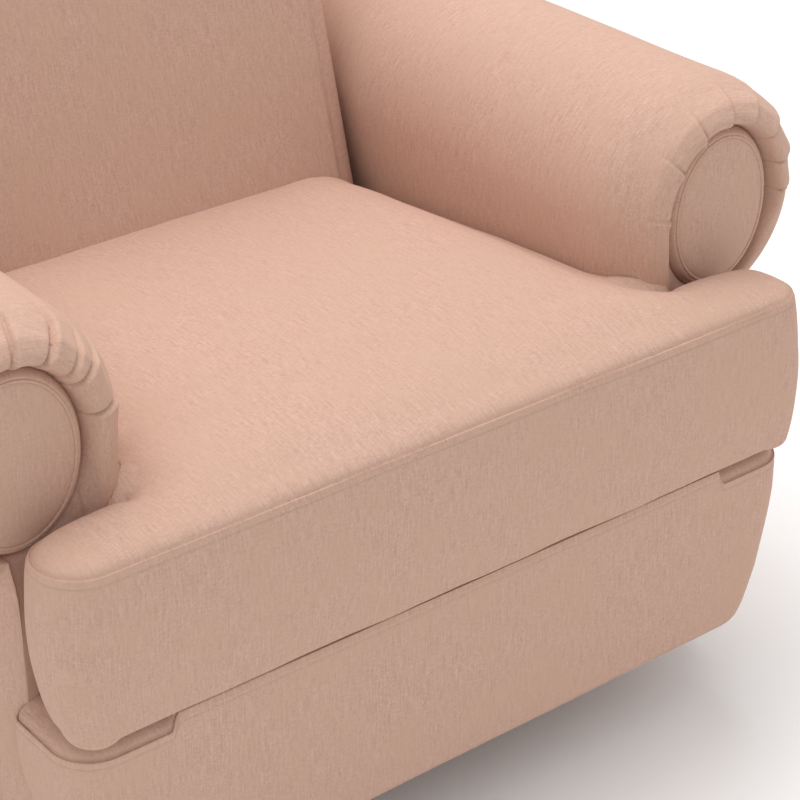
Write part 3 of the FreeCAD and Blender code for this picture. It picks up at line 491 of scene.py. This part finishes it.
def seat_surface(flat):
    """The cushion's top above its seam. It stays full up to the arms, where it rolls over sharply."""
    x, y = np.abs(flat[:, 0]), flat[:, 1]
    rear = back_depth(SEAM_HEIGHT)
    in_neck = ramp((y - EAR_REAR) / 0.05)
    at_front, at_ear = ramp_up((y - SEAT_FRONT) / 0.22), ramp_up((EAR_HALF - x) / 0.10)
    inward = np.clip((NECK_HALF + 0.010 - x) / 0.05, 0, 1)
    ear_rear = ramp_up((EAR_REAR - y) / 0.045 + inward)
    along_ear = np.clip((x - EAR_ROOT) / (EAR_HALF - EAR_ROOT), 0, 1)
    behind = EAR_REAR - EAR_SLANT * along_ear - y + inward + in_neck
    roll = ramp_up(np.minimum(from_corner(EAR_HALF - x, y - SEAT_FRONT, EAR_TURN),
                              from_corner(EAR_HALF - x, behind, EAR_REAR_TURN)) / 0.030)
    full = SEAM_ROLL * roll + SEAT_CROWN * at_front * at_ear * (in_neck + (1 - in_neck) * ear_rear)
    full -= NOTCH_DIP * ramp((y - EAR_REAR + 0.030) / 0.030) * (1 - inward) * (x > NECK_HALF)
    along = np.clip((y - EAR_REAR) / (rear - EAR_REAR), 0, 1)
    beside_arm = ARM_SIDE_RISE - ARM_SIDE_FALL * along
    shoulder = 1 - ramp_up(np.clip((NECK_HALF - x) / 0.095, 0, 1))
    middle = full - REAR_FALL * ramp((along - 0.35) / 0.65)
    height = middle + in_neck * shoulder * (beside_arm - middle)
    into_rear = 1 - ramp_up(np.clip((rear - y) / 0.055, 0, 1))
    return height - REAR_TUCK * into_rear


def ramp_up(t):
    """A rise that is steep at first and level at its end."""
    return 1 - (1 - np.clip(t, 0, 1)) ** 2.4


# the seam across its run, outward and upward in millimetres: a groove, then the folded edge
SEAM_RIDGE = ((-1.6, 0.0), (-1.0, -0.3), (-0.4, -1.7), (0.0, -1.5),
              (0.5, -0.4), (1.0, -0.5), (1.35, -1.3), (1.5, -2.4))
STITCH_DROP = 6.6 * MM


def cushion_profile(depth, bulge, foot, ridge=1.0):
    """Side rows of a boxed cushion: seam ridge, stitch line, bulging wall and rolled lower edge."""
    rows = [(out * MM * ridge, high * MM) for out, high in SEAM_RIDGE]
    for drop in np.concatenate(((4.0 * MM, 5.4 * MM, 6.1 * MM, STITCH_DROP, 7.1 * MM, 7.8 * MM, 9.2 * MM),
                                np.linspace(0.013, depth - foot, 22))):
        t = drop / depth
        out = bulge * math.sin(math.pi * min(1, t * 1.02)) ** 0.6 + 1.2 * MM * ridge * (1 - t)
        dip = 0.7 * MM * math.exp(-((drop - STITCH_DROP) / (0.6 * MM)) ** 2)
        rows.append((out - dip, -drop))
    last = rows[-1][0]
    for k in range(1, 9):
        angle = math.pi / 2 * k / 8
        rows.append((last - foot * (1 - math.cos(angle)), -depth + foot * (1 - math.sin(angle))))
    return rows


def seat_taper(ring, normals, high):
    """The ears lean in towards the underside, and the rear follows the leaning back."""
    t = np.clip(-high / (SEAM_HEIGHT - SEAT_BOTTOM), 0, 1)
    side = ramp((np.abs(ring[:, 0]) - 0.30) / 0.08)
    move = np.zeros_like(ring)
    move[:, 0] = -np.sign(ring[:, 0]) * side * 0.010 * t ** 4
    rear = ramp((ring[:, 1] - 0.0) / 0.05)
    move[:, 1] = -rear * (-high) * math.tan(RAKE)
    corner = np.abs(2 * normals[:, 0] * normals[:, 1]) ** 1.5 * (ring[:, 1] < SEAT_FRONT + 0.04)
    return move + normals * (11 * MM * corner * t ** 1.5)[:, None]


def make_seat_cushion():
    """The loose T cushion, with topstitching where it shows."""
    loop = seat_outline()
    axes = Axes((0, 0, SEAM_HEIGHT), X, Y, Z)
    depth = SEAM_HEIGHT - SEAT_BOTTOM
    piece = puffed("seat_cushion", loop, axes, 0.0, cushion_profile(depth, 0.0065, 0.008), FABRIC,
                   spacing=0.0065, lift=seat_surface, shift=seat_taper, passes=26)
    rumple(piece, 0.0011, 0.10, 3)
    rumple(piece, 0.0005, 0.035, 5)
    stands_for = ("seat_cushion_cover", "seat_cushion_core")
    finish_piece(piece, "seat_cushion", stands_for)
    visible = loop[loop[:, 1] < EAR_REAR + 0.002]
    steps = np.diff(np.concatenate((visible, visible[:1])), axis=0)
    start = np.argmax(np.linalg.norm(steps, axis=1)) + 1
    run = np.roll(visible, -start, 0)
    stitch_line("seat_cushion_topstitch", run, axes, 1.4 * MM, STITCH_DROP, "seat_cushion")


def rumple(piece, amount, scale, seed):
    """Moves a piece's points a little along their normals, smoothly."""
    mesh = piece.data
    count = len(mesh.vertices)
    co = np.zeros(count * 3)
    mesh.vertices.foreach_get("co", co)
    co = co.reshape(-1, 3)
    normals = np.array([v.normal for v in mesh.vertices])
    co += normals * (wobble(co, scale, seed) * amount)[:, None]
    mesh.vertices.foreach_set("co", co.ravel())
    mesh.update()


def stitch_line(name, run, axes, out, drop, body):
    """Topstitching along the side of a cushion, under its seam: short raised threads."""
    normals = outward(run)
    points = axes.place(run + normals * out, np.full(len(run), -drop))
    outs = normals @ np.stack((axes.across, axes.up))
    arc = np.concatenate(([0], np.cumsum(np.linalg.norm(np.diff(points, axis=0), axis=1))))
    stitch, pitch, radius = 3.0 * MM, 4.6 * MM, 0.36 * MM
    verts, faces = [], []
    for begin in np.arange(arc[2], arc[-3] - stitch, pitch):
        start = len(verts)
        for k in range(5):
            at = begin + stitch * k / 4
            swell = math.sin(math.pi * k / 4)
            p = np.array([np.interp(at, arc, points[:, c]) for c in range(3)])
            n = np.array([np.interp(at, arc, outs[:, c]) for c in range(3)])
            r = radius * (0.35 + 0.65 * swell)
            base = p + n * (0.1 * MM + 0.2 * MM * swell)
            for m in range(6):
                a = 2 * math.pi * m / 6
                verts.append(base + axes.out * (r * math.sin(a)) + n * (r * math.cos(a)))
            if k:
                faces += bridge(start + 6 * (k - 1), start + 6 * k, 6)
        faces.append(tuple(range(start + 5, start - 1, -1)))
        faces.append(tuple(range(start + 24, start + 30)))
    piece = make_object(name, verts, faces, None, STITCH)
    return finish_piece(piece, body)


# --- back -----------------------------------------------------------------------------------

BACK_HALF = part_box("back_cover")[1].x
BACK_LONG = 0.735
BACK_PAD = 0.120
SHELL_LONG = 0.715
SHELL_DEEP = 0.1105
SHELL_FOOT = 0.015


def soft_profile(depth, edge, bulge, steps=8, tail=0.012):
    """Side rows of a piece with a rolled front edge, a slightly full side and a rolled rear edge."""
    rows = []
    for k in range(steps + 1):
        angle = math.pi / 2 * k / steps
        rows.append((-edge * (1 - math.sin(angle)), -edge * (1 - math.cos(angle))))
    for k in range(1, 12):
        t = k / 12
        rows.append((bulge * math.sin(math.pi * t), -edge - (depth - edge - tail) * t))
    for k in range(0, 7):
        angle = math.pi / 2 * k / 6
        rows.append((-tail * (1 - math.cos(angle)), -depth + tail * (1 - math.sin(angle))))
    return rows


def make_back():
    """The inside back pad, and the outside back behind it."""
    half = BACK_HALF - 3 * MM
    corners = ((-half, 0), (half, 0), (half, BACK_LONG), (-half, BACK_LONG))
    loop = rounded_outline(corners, (0.045, 0.045, 0.065, 0.065), 4 * MM)
    axes = Axes(BACK_FOOT, X, UP_BACK, -INTO_BACK)
    edge = 0.032
    piece = puffed("inside_back", loop, axes, 0.010, soft_profile(BACK_PAD, edge, 0.002), FABRIC,
                   spacing=0.009, reach=0.16, rim=(edge, edge + 0.004, edge + 0.010))
    rumple(piece, 0.0015, 0.16, 11)
    finish_piece(piece, "seat", ("back_cover", "back_core"))
    corners = ((-half, SHELL_FOOT), (half, SHELL_FOOT), (half, SHELL_LONG), (-half, SHELL_LONG))
    loop = rounded_outline(corners, (0.042, 0.042, 0.06, 0.06), 5 * MM)
    axes = Axes(BACK_FOOT + INTO_BACK * (BACK_PAD + 0.001 + SHELL_DEEP), -X, UP_BACK, INTO_BACK)
    edge = 0.030
    piece = puffed("outside_back", loop, axes, 0.003, soft_profile(SHELL_DEEP, edge, 0.0), FABRIC,
                   spacing=0.012, reach=0.10, rim=(edge, edge + 0.004, edge + 0.010))
    rumple(piece, 0.0008, 0.2, 13)
    finish_piece(piece, "seat", ("outer_back_cover",))


# --- front panel, rear panel and deck -------------------------------------------------------

PANEL_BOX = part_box("front_panel_cover")
RISE_HALF = 0.287
LEDGE = 0.242
PANEL_TURN = 0.036
RISE_HIGH, LEDGE_HIGH = 0.0155, 0.0125
REAR_PANEL_MORE = 22 * MM
# how far each side comes in at each depth under the ledge
PANEL_TAPER = ((0.0, 0.0), (0.035, 0.001), (0.055, 0.004), (0.076, 0.008), (0.112, 0.015), (0.130, 0.021),
               (0.147, 0.027), (0.157, 0.034), (0.163, 0.041), (0.170, 0.055))


def in_rise(across):
    """One in the middle of the front panel, where it runs up under the cushion, and zero on its ledges."""
    return 1 - ramp((np.abs(across) - RISE_HALF) / (7 * MM))


def panel_lift(flat):
    """The ledges swell up from the seam towards the cushion, and the rise stands at its full height."""
    from_side, from_front = PANEL_BOX[1].x - np.abs(flat[:, 0]), flat[:, 1] - PANEL_BOX[0].y - 2 * MM
    inward = from_corner(from_side, from_front, PANEL_TURN)
    middle = in_rise(flat[:, 0])
    return RISE_HIGH * middle + LEDGE_HIGH * ramp_up(inward / 0.028) * (1 - middle)


def panel_shift(ring, normals, high):
    """Narrows the panel towards the floor, and leaves the seam's ridge out of the rise."""
    move = np.zeros_like(ring)
    drop = max(0.0, -high)
    side = ramp((np.abs(ring[:, 0]) - 0.27) / 0.10)
    move[:, 0] = -np.sign(ring[:, 0]) * side * np.interp(drop, *zip(*PANEL_TAPER))
    if drop < 0.004:
        move -= normals * (in_rise(ring[:, 0]) * 0.8 * MM)[:, None]
    fold = np.exp(-((np.abs(ring[:, 0]) - RISE_HALF - 3 * MM) / (3 * MM)) ** 2) * math.exp(-drop / 0.010)
    return move - normals * (1.6 * MM * fold)[:, None]


def make_front_panel():
    """The padded panel under the cushion, with a ledge under each ear."""
    low, high = PANEL_BOX
    half, front, rear = high.x, low.y + 2 * MM, high.y
    corners = ((-half, front), (half, front), (half, rear), (-half, rear))
    loop = rounded_outline(corners, (PANEL_TURN, PANEL_TURN, 0.006, 0.006), 2.5 * MM)
    axes = Axes((0, 0, LEDGE), X, Y, Z)
    profile = cushion_profile(LEDGE - low.z, 0.0015, 0.016, 1.1)
    piece = puffed("front_panel", loop, axes, 0.0, profile, FABRIC, spacing=0.006, reach=0.03,
                   lift=panel_lift, shift=panel_shift, passes=3)
    rumple(piece, 0.0009, 0.12, 17)
    finish_piece(piece, "seat", ("front_panel_cover", "front_panel_padding"))


def make_rear_panel():
    """The covered board across the rear, up to the outside back."""
    low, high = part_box("rear_panel_cover")
    top = high.z + REAR_PANEL_MORE
    corners = ((-high.x, low.z), (high.x, low.z), (high.x, top), (-high.x, top))
    loop = rounded_outline(corners, (0.004,) * 4, 6 * MM)
    axes = Axes((0, high.y, 0), -X, Z, Y)
    edge = 0.006
    profile = soft_profile(high.y - low.y, edge, 0.0, tail=0.003)
    piece = puffed("rear_panel", loop, axes, 0.001, profile, FABRIC,
                   spacing=0.012, reach=0.05, rim=(edge, edge + 0.003, edge + 0.008))
    finish_piece(piece, "seat", ("rear_panel_cover",))


def make_deck():
    """The thin pad that the loose cushion lies on."""
    low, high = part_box("deck_pad")
    corners = ((-high.x, low.y), (high.x, low.y), (high.x, high.y), (-high.x, high.y))
    loop = rounded_outline(corners, (0.006,) * 4, 6 * MM)
    sunk = 1.0 * MM
    axes = Axes((0, 0, high.z - sunk), X, Y, Z)
    profile = soft_profile(high.z - low.z - sunk, 0.004, 0.0, tail=0.003)
    piece = puffed("seat_deck", loop, axes, 0.0008, profile, DECK,
                   spacing=0.012, reach=0.05, rim=(0.004, 0.007, 0.012))
    finish_piece(piece, "seat", ("deck_pad",))


# --- arms -----------------------------------------------------------------------------------

ARM_LOW, ARM_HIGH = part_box("arm_cover_right")
ROLL_RADIUS = (ARM_HIGH.x - ARM_LOW.x) / 2
ROLL_AXIS = np.array((ARM_HIGH.x - ROLL_RADIUS, ARM_HIGH.z - ROLL_RADIUS))
WALL_OUTER = 0.386
WALL_LEAN = 6 * MM
REAR_TURN = 0.010
PANEL_SET = 0.007
DISC_LOW, DISC_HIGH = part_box("arm_disc_right")
DISC_HALF = ((DISC_HIGH.x - DISC_LOW.x) / 2, (DISC_HIGH.z - DISC_LOW.z) / 2)
DISC_BAND = 0.008
# angles round the disc, in degrees, that the wall's two feet are gathered to
FOOT_INNER, FOOT_OUTER_TURN = 215, 20
# each pleat: its place round the disc and its turn over the nose in degrees, its weight and its length
RIGHT_PLEATS = ((172, 2, 0.8, 0.015), (138, -1, 1.0, 0.017), (114, -5, 1.2, 0.024), (94, -11, 1.5, 0.048),
                (76, -16, 1.6, 0.062), (53, -14, 1.5, 0.055), (29, -12, 1.4, 0.055), (5, -9, 1.2, 0.050))
LEFT_PLEATS = ((8, 6, 1.0, 0.040), (30, 8, 1.1, 0.045), (50, 8, 1.1, 0.050),
               (71, 8, 1.2, 0.050), (91, 8, 1.3, 0.055), (109, 12, 1.6, 0.062),
               (127, 7, 1.1, 0.040), (135, 11, 1.3, 0.050), (161, 9, 1.2, 0.042))
# how far the nose is drawn in at each distance behind the disc's plane, beside the seat, on top and outside
NOSE_RUN = (0.0, 0.008, 0.016, 0.024, 0.034, 0.048, 0.060)
NOSE_INNER = (0.0235, 0.0200, 0.0160, 0.0110, 0.0063, 0.0014, 0.0)
NOSE_TOP = (0.0120, 0.0100, 0.0080, 0.0060, 0.0030, 0.0008, 0.0)
NOSE_OUTER = (0.0310, 0.0210, 0.0130, 0.0065, 0.0030, 0.0008, 0.0)


def oval(theta, grow=0.0):
    """A point of the front disc's outline about the roll's axis, at polar angle theta."""
    a, b = DISC_HALF[0] + grow, DISC_HALF[1] + grow
    r = a * b / np.hypot(b * np.cos(theta), a * np.sin(theta))
    return np.stack((ROLL_AXIS[0] + r * np.cos(theta), ROLL_AXIS[1] + r * np.sin(theta)), -1)


def arm_section():
    """The arm's section as a loop, from the seat side over the roll and back along the foot.

    Gives its points, their inward normals, the disc angle that each is gathered to, the roll angles, and
    how many of the points the arm's fabric covers before the side panel begins.
    """
    inner, base = ARM_LOW.x, ARM_LOW.z
    outer = WALL_OUTER - PANEL_SET
    crease = -math.acos((outer - ROLL_AXIS[0]) / ROLL_RADIUS)
    wall = np.arange(base, ROLL_AXIS[1] - 2 * MM, 6 * MM)
    roll = np.linspace(math.pi, crease, 380)
    crease_z = ROLL_AXIS[1] + ROLL_RADIUS * math.sin(crease)
    out_wall = np.arange(crease_z - 4 * MM, base, -8 * MM)
    floor = np.linspace(outer, inner, 14)[:-1]
    foot_outer = crease - math.radians(FOOT_OUTER_TURN)
    foot_inner = math.radians(FOOT_INNER - 360)
    points, normals, angles, rolls = [], [], [], []
    for z in wall:
        t = (z - base) / (ROLL_AXIS[1] - base)
        points.append((inner + WALL_LEAN * float(ramp((ROLL_AXIS[1] - z) / 0.10)), z))
        normals.append((1, 0))
        angles.append(math.radians(FOOT_INNER - (FOOT_INNER - 180) * t))
        rolls.append(math.pi)
    for a in roll:
        points.append((ROLL_AXIS[0] + ROLL_RADIUS * math.cos(a), ROLL_AXIS[1] + ROLL_RADIUS * math.sin(a)))
        normals.append((-math.cos(a), -math.sin(a)))
        angles.append(a)
        rolls.append(a)
    for z in out_wall:
        t = (crease_z - z) / (crease_z - base)
        points.append((outer, z))
        normals.append((-1, 0))
        angles.append(crease + (foot_outer - crease) * t)
        rolls.append(crease)
    for x in floor:
        t = (outer - x) / (outer - inner)
        points.append((x, base))
        normals.append((0, 1))
        angles.append(foot_outer + (foot_inner - foot_outer) * t)
        rolls.append(crease)
    columns = (np.array(column, float) for column in (points, normals, angles, rolls))
    return (*columns, len(wall) + len(roll))


def pleat_lift(rolls, pleats, run):
    """Height of the gathered fabric at each column, at a distance from the mouth that holds the disc."""
    lift = np.zeros(len(rolls))
    degrees = np.degrees(rolls)
    wide = 1 + run / 0.10
    for place, turn, weight, length in pleats:
        along = (degrees - place - turn * min(1.0, run / 0.045)) * math.radians(1) * ROLL_RADIUS
        slope, lip = np.exp(-(np.abs(along) / (10 * MM * wide)) ** 1.4), np.exp(-(along / (1.2 * MM)) ** 2)
        lap = np.where(along >= 0, slope, lip)
        groove = np.exp(-((along + 2.2 * MM) / (1.9 * MM * wide)) ** 2)
        fade = math.exp(-(run / length) ** 2.2)
        lift += weight * fade * (3.6 * MM * lap - 3.4 * MM * groove)
    return lift


def nose_inset(rolls, run, covered):
    """How far the nose is drawn in at each column, at a distance behind the disc's plane."""
    over = np.clip(np.sin(rolls), 0, 1) ** 1.5
    inner, top, outer = (np.interp(run, NOSE_RUN, table) for table in (NOSE_INNER, NOSE_TOP, NOSE_OUTER))
    beside = np.where(np.cos(rolls) < 0, inner, outer)
    inset = beside * (1 - over) + top * over + 2.5 * MM * math.exp(-run / (2 * MM))
    inset[covered:] *= 0.35
    return inset


def shrunk(points, normals, inset):
    """The arm's section drawn in by inset all round, with its foot's corners kept clean."""
    low, high = ARM_LOW.x, WALL_OUTER - PANEL_SET
    section = points + normals * inset
    near_foot = np.clip(1 - (points[:, 1] - ARM_LOW.z) / 0.10, 0, 1)
    section[:, 1] += inset * near_foot * (1 - normals[:, 1])
    across = (points[:, 0] - low) / (high - low)
    section[:, 0] += inset * (1 - 2 * across) * (normals[:, 1] == 1) * (points[:, 1] < ARM_LOW.z + 1 * MM)
    return section


def make_arm(side, pleats, label):
    """The rolled arm, gathered round its front disc, then the disc and the side panel. side is 1 or -1."""
    points, normals, angles, rolls, covered = arm_section()
    count = len(points)
    front, rear = ARM_LOW.y, ARM_HIGH.y
    rows = []

    def add(section, y):
        rows.append(np.stack((section[:, 0], np.broadcast_to(y, count), section[:, 1]), 1))

    on_roll = (rolls < math.pi - 1e-6) & (np.arange(count) < covered)
    upper = ramp((np.sin(rolls) + 0.14) / 0.22) * on_roll * ramp((179 - np.degrees(rolls)) / 4)
    plane = front - 4.5 * MM
    ring = 20 * MM
    mouth, lip = oval(angles, -0.001), oval(angles, 0.002)
    add(oval(angles, -0.010), front + 0.030)
    add(mouth, front + 0.020)
    add(mouth, front + 0.010)
    edge = points + normals * nose_inset(rolls, 0, covered)[:, None]
    full = 6.5 * MM * ramp((np.sin(rolls) + 0.55) / 0.5)
    for t in (0.0, 0.04, 0.09, 0.16, 0.25, 0.36, 0.48, 0.61, 0.74, 0.87):
        amount = pleat_lift(rolls, pleats, ring * t) * upper * (0.7 + 0.3 * t)
        deep = 8 * MM * (1 - t) ** 6 - full * math.sin(math.pi * t ** 0.8) ** 0.8
        add(lip * (1 - t) + edge * t, plane + deep - amount)
    for run in np.concatenate(((0, 0.7, 1.6, 2.8, 4.5, 6.5), np.arange(9, 62, 3))) * MM:
        amount = pleat_lift(rolls, pleats, ring + run) * upper
        lean = 0.35 + 0.6 * math.exp(-run / (3 * MM))
        out = math.sqrt(1 - lean ** 2)
        section = points + normals * (nose_inset(rolls, run, covered) - amount * out)[:, None]
        add(section, plane + run - amount * lean)
    runs = np.concatenate((np.arange(64, 110, 5) * MM, np.linspace(0.116, rear - plane - 0.011, 26)))
    for run in runs:
        amount = pleat_lift(rolls, pleats, ring + run) * upper
        add(points - normals * amount[:, None], plane + run)
    for k in range(1, 6):
        angle = math.pi / 2 * k / 5
        closing = shrunk(points, normals, REAR_TURN * (1 - math.cos(angle)))
        add(closing, rear - REAR_TURN * (1 - math.sin(angle)))
    verts = np.concatenate(rows)
    # cloth runs round the roll and along the arm
    loop_arc = np.concatenate(([0], np.cumsum(np.linalg.norm(np.diff(points, axis=0), axis=1))))
    cloth = []
    run = 0.0
    for i, row in enumerate(rows):
        if i:
            run += float(np.median(np.linalg.norm(row - rows[i - 1], axis=1)))
        cloth.append(np.stack((np.full(count, run), loop_arc), 1))
    cloth = np.concatenate(cloth)
    faces = []
    for i in range(len(rows) - 1):
        faces += bridge(i * count, (i + 1) * count, count)
    last = (len(rows) - 1) * count
    faces.append(tuple(range(count)))
    filling, triangles = cap(closing, 0.012)
    verts = np.concatenate((verts, np.stack((filling[:, 0], np.full(len(filling), rear), filling[:, 1]), 1)))
    cloth = np.concatenate((cloth, filling))
    faces += [tuple(last + v for v in t)[::-1] for t in triangles]
    verts[:, 0] *= side
    if side < 0:
        faces = [f[::-1] for f in faces]
    piece = make_object(f"arm_{label}", verts, faces, cloth, FABRIC)
    rumple(piece, 0.0011, 0.10, 21 + side)
    finish_piece(piece, "seat", (f"arm_cover_{label}", f"arm_padding_{label}"))
    make_disc(side, label)
    make_side_panel(side, label)


def make_disc(side, label):
    """The padded oval facing: a domed front inside a welt, and a band that slopes back into the gap."""
    theta = np.linspace(0, 2 * math.pi, 260, endpoint=False)
    outer = oval(theta, -0.0005)
    loop = outer - (outer - ROLL_AXIS) / np.linalg.norm(outer - ROLL_AXIS, axis=1)[:, None] * DISC_BAND
    loop = loop - ROLL_AXIS
    y = DISC_LOW.y + 3.2 * MM
    axes = Axes((side * ROLL_AXIS[0], y, ROLL_AXIS[1]), X, Z, -Y)
    profile = [(-1.2 * MM, -0.2 * MM), (-0.4 * MM, -1.0 * MM), (0.5 * MM, -1.2 * MM), (1.2 * MM, -0.4 * MM)]
    profile += [(1.2 * MM + t * 7.0 * MM, -0.3 * MM - t ** 1.6 * 7.5 * MM + 0.8 * MM * math.sin(math.pi * t))
                for t in (0.12, 0.25, 0.4, 0.55, 0.7, 0.85, 1.0)]
    profile += [(8.4 * MM, -10 * MM), (8.0 * MM, -16 * MM)]
    piece = puffed(f"arm_disc_pad_{label}", loop, axes, 0.0035, profile, FABRIC, spacing=0.004, reach=0.045,
                   floor_spacing=0.01, rim=(0.0025, 0.005, 0.008))
    finish_piece(piece, "seat", (f"arm_disc_{label}",))
    cord_round(f"arm_disc_welt_{label}", axes.place(loop, np.full(len(loop), -0.5 * MM)), 1.5 * MM, "seat")


def cord_round(name, points, radius, body):
    """A closed fabric welt along a loop of points."""
    count = len(points)
    along = np.roll(points, -1, 0) - np.roll(points, 1, 0)
    along /= np.linalg.norm(along, axis=1)[:, None]
    centre = points.mean(0)
    away = points - centre
    away -= (away * along).sum(1)[:, None] * along
    away /= np.linalg.norm(away, axis=1)[:, None]
    other = np.cross(along, away)
    sides = 10
    verts, cloth, faces = [], [], []
    for k in range(sides):
        angle = 2 * math.pi * k / sides
        verts.append(points + radius * (away * math.cos(angle) + other * math.sin(angle)))
        cloth.append(np.stack((np.arange(count) * 2 * MM, np.full(count, radius * angle)), 1))
    for k in range(sides):
        faces += bridge(k * count, ((k + 1) % sides) * count, count)
    piece = make_object(name, np.concatenate(verts), faces, np.concatenate(cloth), FABRIC)
    return finish_piece(piece, body)


def make_side_panel(side, label):
    """The flat outer panel under the arm's roll."""
    top = ROLL_AXIS[1] - math.sqrt(ROLL_RADIUS ** 2 - (WALL_OUTER - ROLL_AXIS[0]) ** 2) + 1 * MM
    front, rear, base = ARM_LOW.y + 0.040, ARM_HIGH.y, ARM_LOW.z
    across = Y * side
    ends = sorted((front * side, rear * side))
    corners = ((ends[0], base), (ends[1], base), (ends[1], top), (ends[0], top))
    loop = rounded_outline(corners, (0.006,) * 4, 6 * MM)
    axes = Axes((side * WALL_OUTER, 0, 0), across, Z, X * side)
    profile = soft_profile(PANEL_SET + 0.003, 0.005, 0.0, tail=0.002)
    piece = puffed(f"arm_side_panel_{label}", loop, axes, 0.0015, profile, FABRIC,
                   spacing=0.012, reach=0.05, rim=(0.005, 0.008, 0.013))
    finish_piece(piece, "seat", ())


# --- CAD nodes ------------------------------------------------------------------------------

def dress_nodes():
    """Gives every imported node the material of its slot."""
    slots = {row["node"]: row["material_slot"] for row in frame["record"]["subparts"]}
    for name, piece in frame["nodes"].items():
        material = CAD_MATERIALS.get(slots[name], DUST)
        if not piece.material_slots:
            piece.data.materials.append(material)
        for holder in piece.material_slots:
            holder.material = material


# --- stage ----------------------------------------------------------------------------------

FLOOR_HALF = 9


def make_stage():
    """A plain pale floor under an even white sky."""
    mesh = bpy.data.meshes.new("floor")
    corners = [(x * FLOOR_HALF, y * FLOOR_HALF, 0) for x, y in ((-1, -1), (1, -1), (1, 1), (-1, 1))]
    mesh.from_pydata(corners, [], [(0, 1, 2, 3)])
    floor = bpy.data.objects.new("floor", mesh)
    bpy.context.scene.collection.objects.link(floor)
    n = Nodes("pale_floor")
    n.shader.inputs["Base Color"].default_value = (0.97, 0.97, 0.97, 1)
    n.shader.inputs["Roughness"].default_value = 0.9
    mesh.materials.append(n.material)
    world = bpy.data.worlds.new("studio")
    world.use_nodes = True
    world.node_tree.nodes["Background"].inputs[0].default_value = (1, 1, 1, 1)
    world.node_tree.nodes["Background"].inputs[1].default_value = 0.77
    bpy.context.scene.world = world


def area_light(name, place, aim, size, power):
    """A soft round lamp, aimed at a point."""
    data = bpy.data.lights.new(name, "AREA")
    data.shape = "DISK"
    data.size = size
    data.energy = power
    lamp = bpy.data.objects.new(name, data)
    lamp.location = place
    lamp.rotation_euler = (Vector(aim) - Vector(place)).to_track_quat("-Z", "Y").to_euler()
    bpy.context.scene.collection.objects.link(lamp)


def make_camera():
    """A long lens to the front left and above, close in on the seat."""
    data = bpy.data.cameras.new("camera")
    data.sensor_width = 36
    data.lens = 108.38
    data.clip_end = 30
    camera = bpy.data.objects.new("camera", data)
    camera.location = (-1.0733, -1.6731, 1.3540)
    camera.rotation_euler = (math.pi / 2 - 0.50903, 0, -0.66872)
    bpy.context.scene.collection.objects.link(camera)
    bpy.context.scene.camera = camera


bpy.context.scene.view_settings.view_transform = "Standard"
make_camera()
make_seat_cushion()
make_back()
make_front_panel()
make_rear_panel()
make_deck()
make_arm(1, RIGHT_PLEATS, "right")
make_arm(-1, LEFT_PLEATS, "left")
dress_nodes()
make_stage()
area_light("key", (-0.7, 0.5, 3.4), (0, 0, 0.4), 2.2, 36)
area_light("top", (0.9, 0.9, 3.3), (0, 0, 0.4), 2.2, 36)
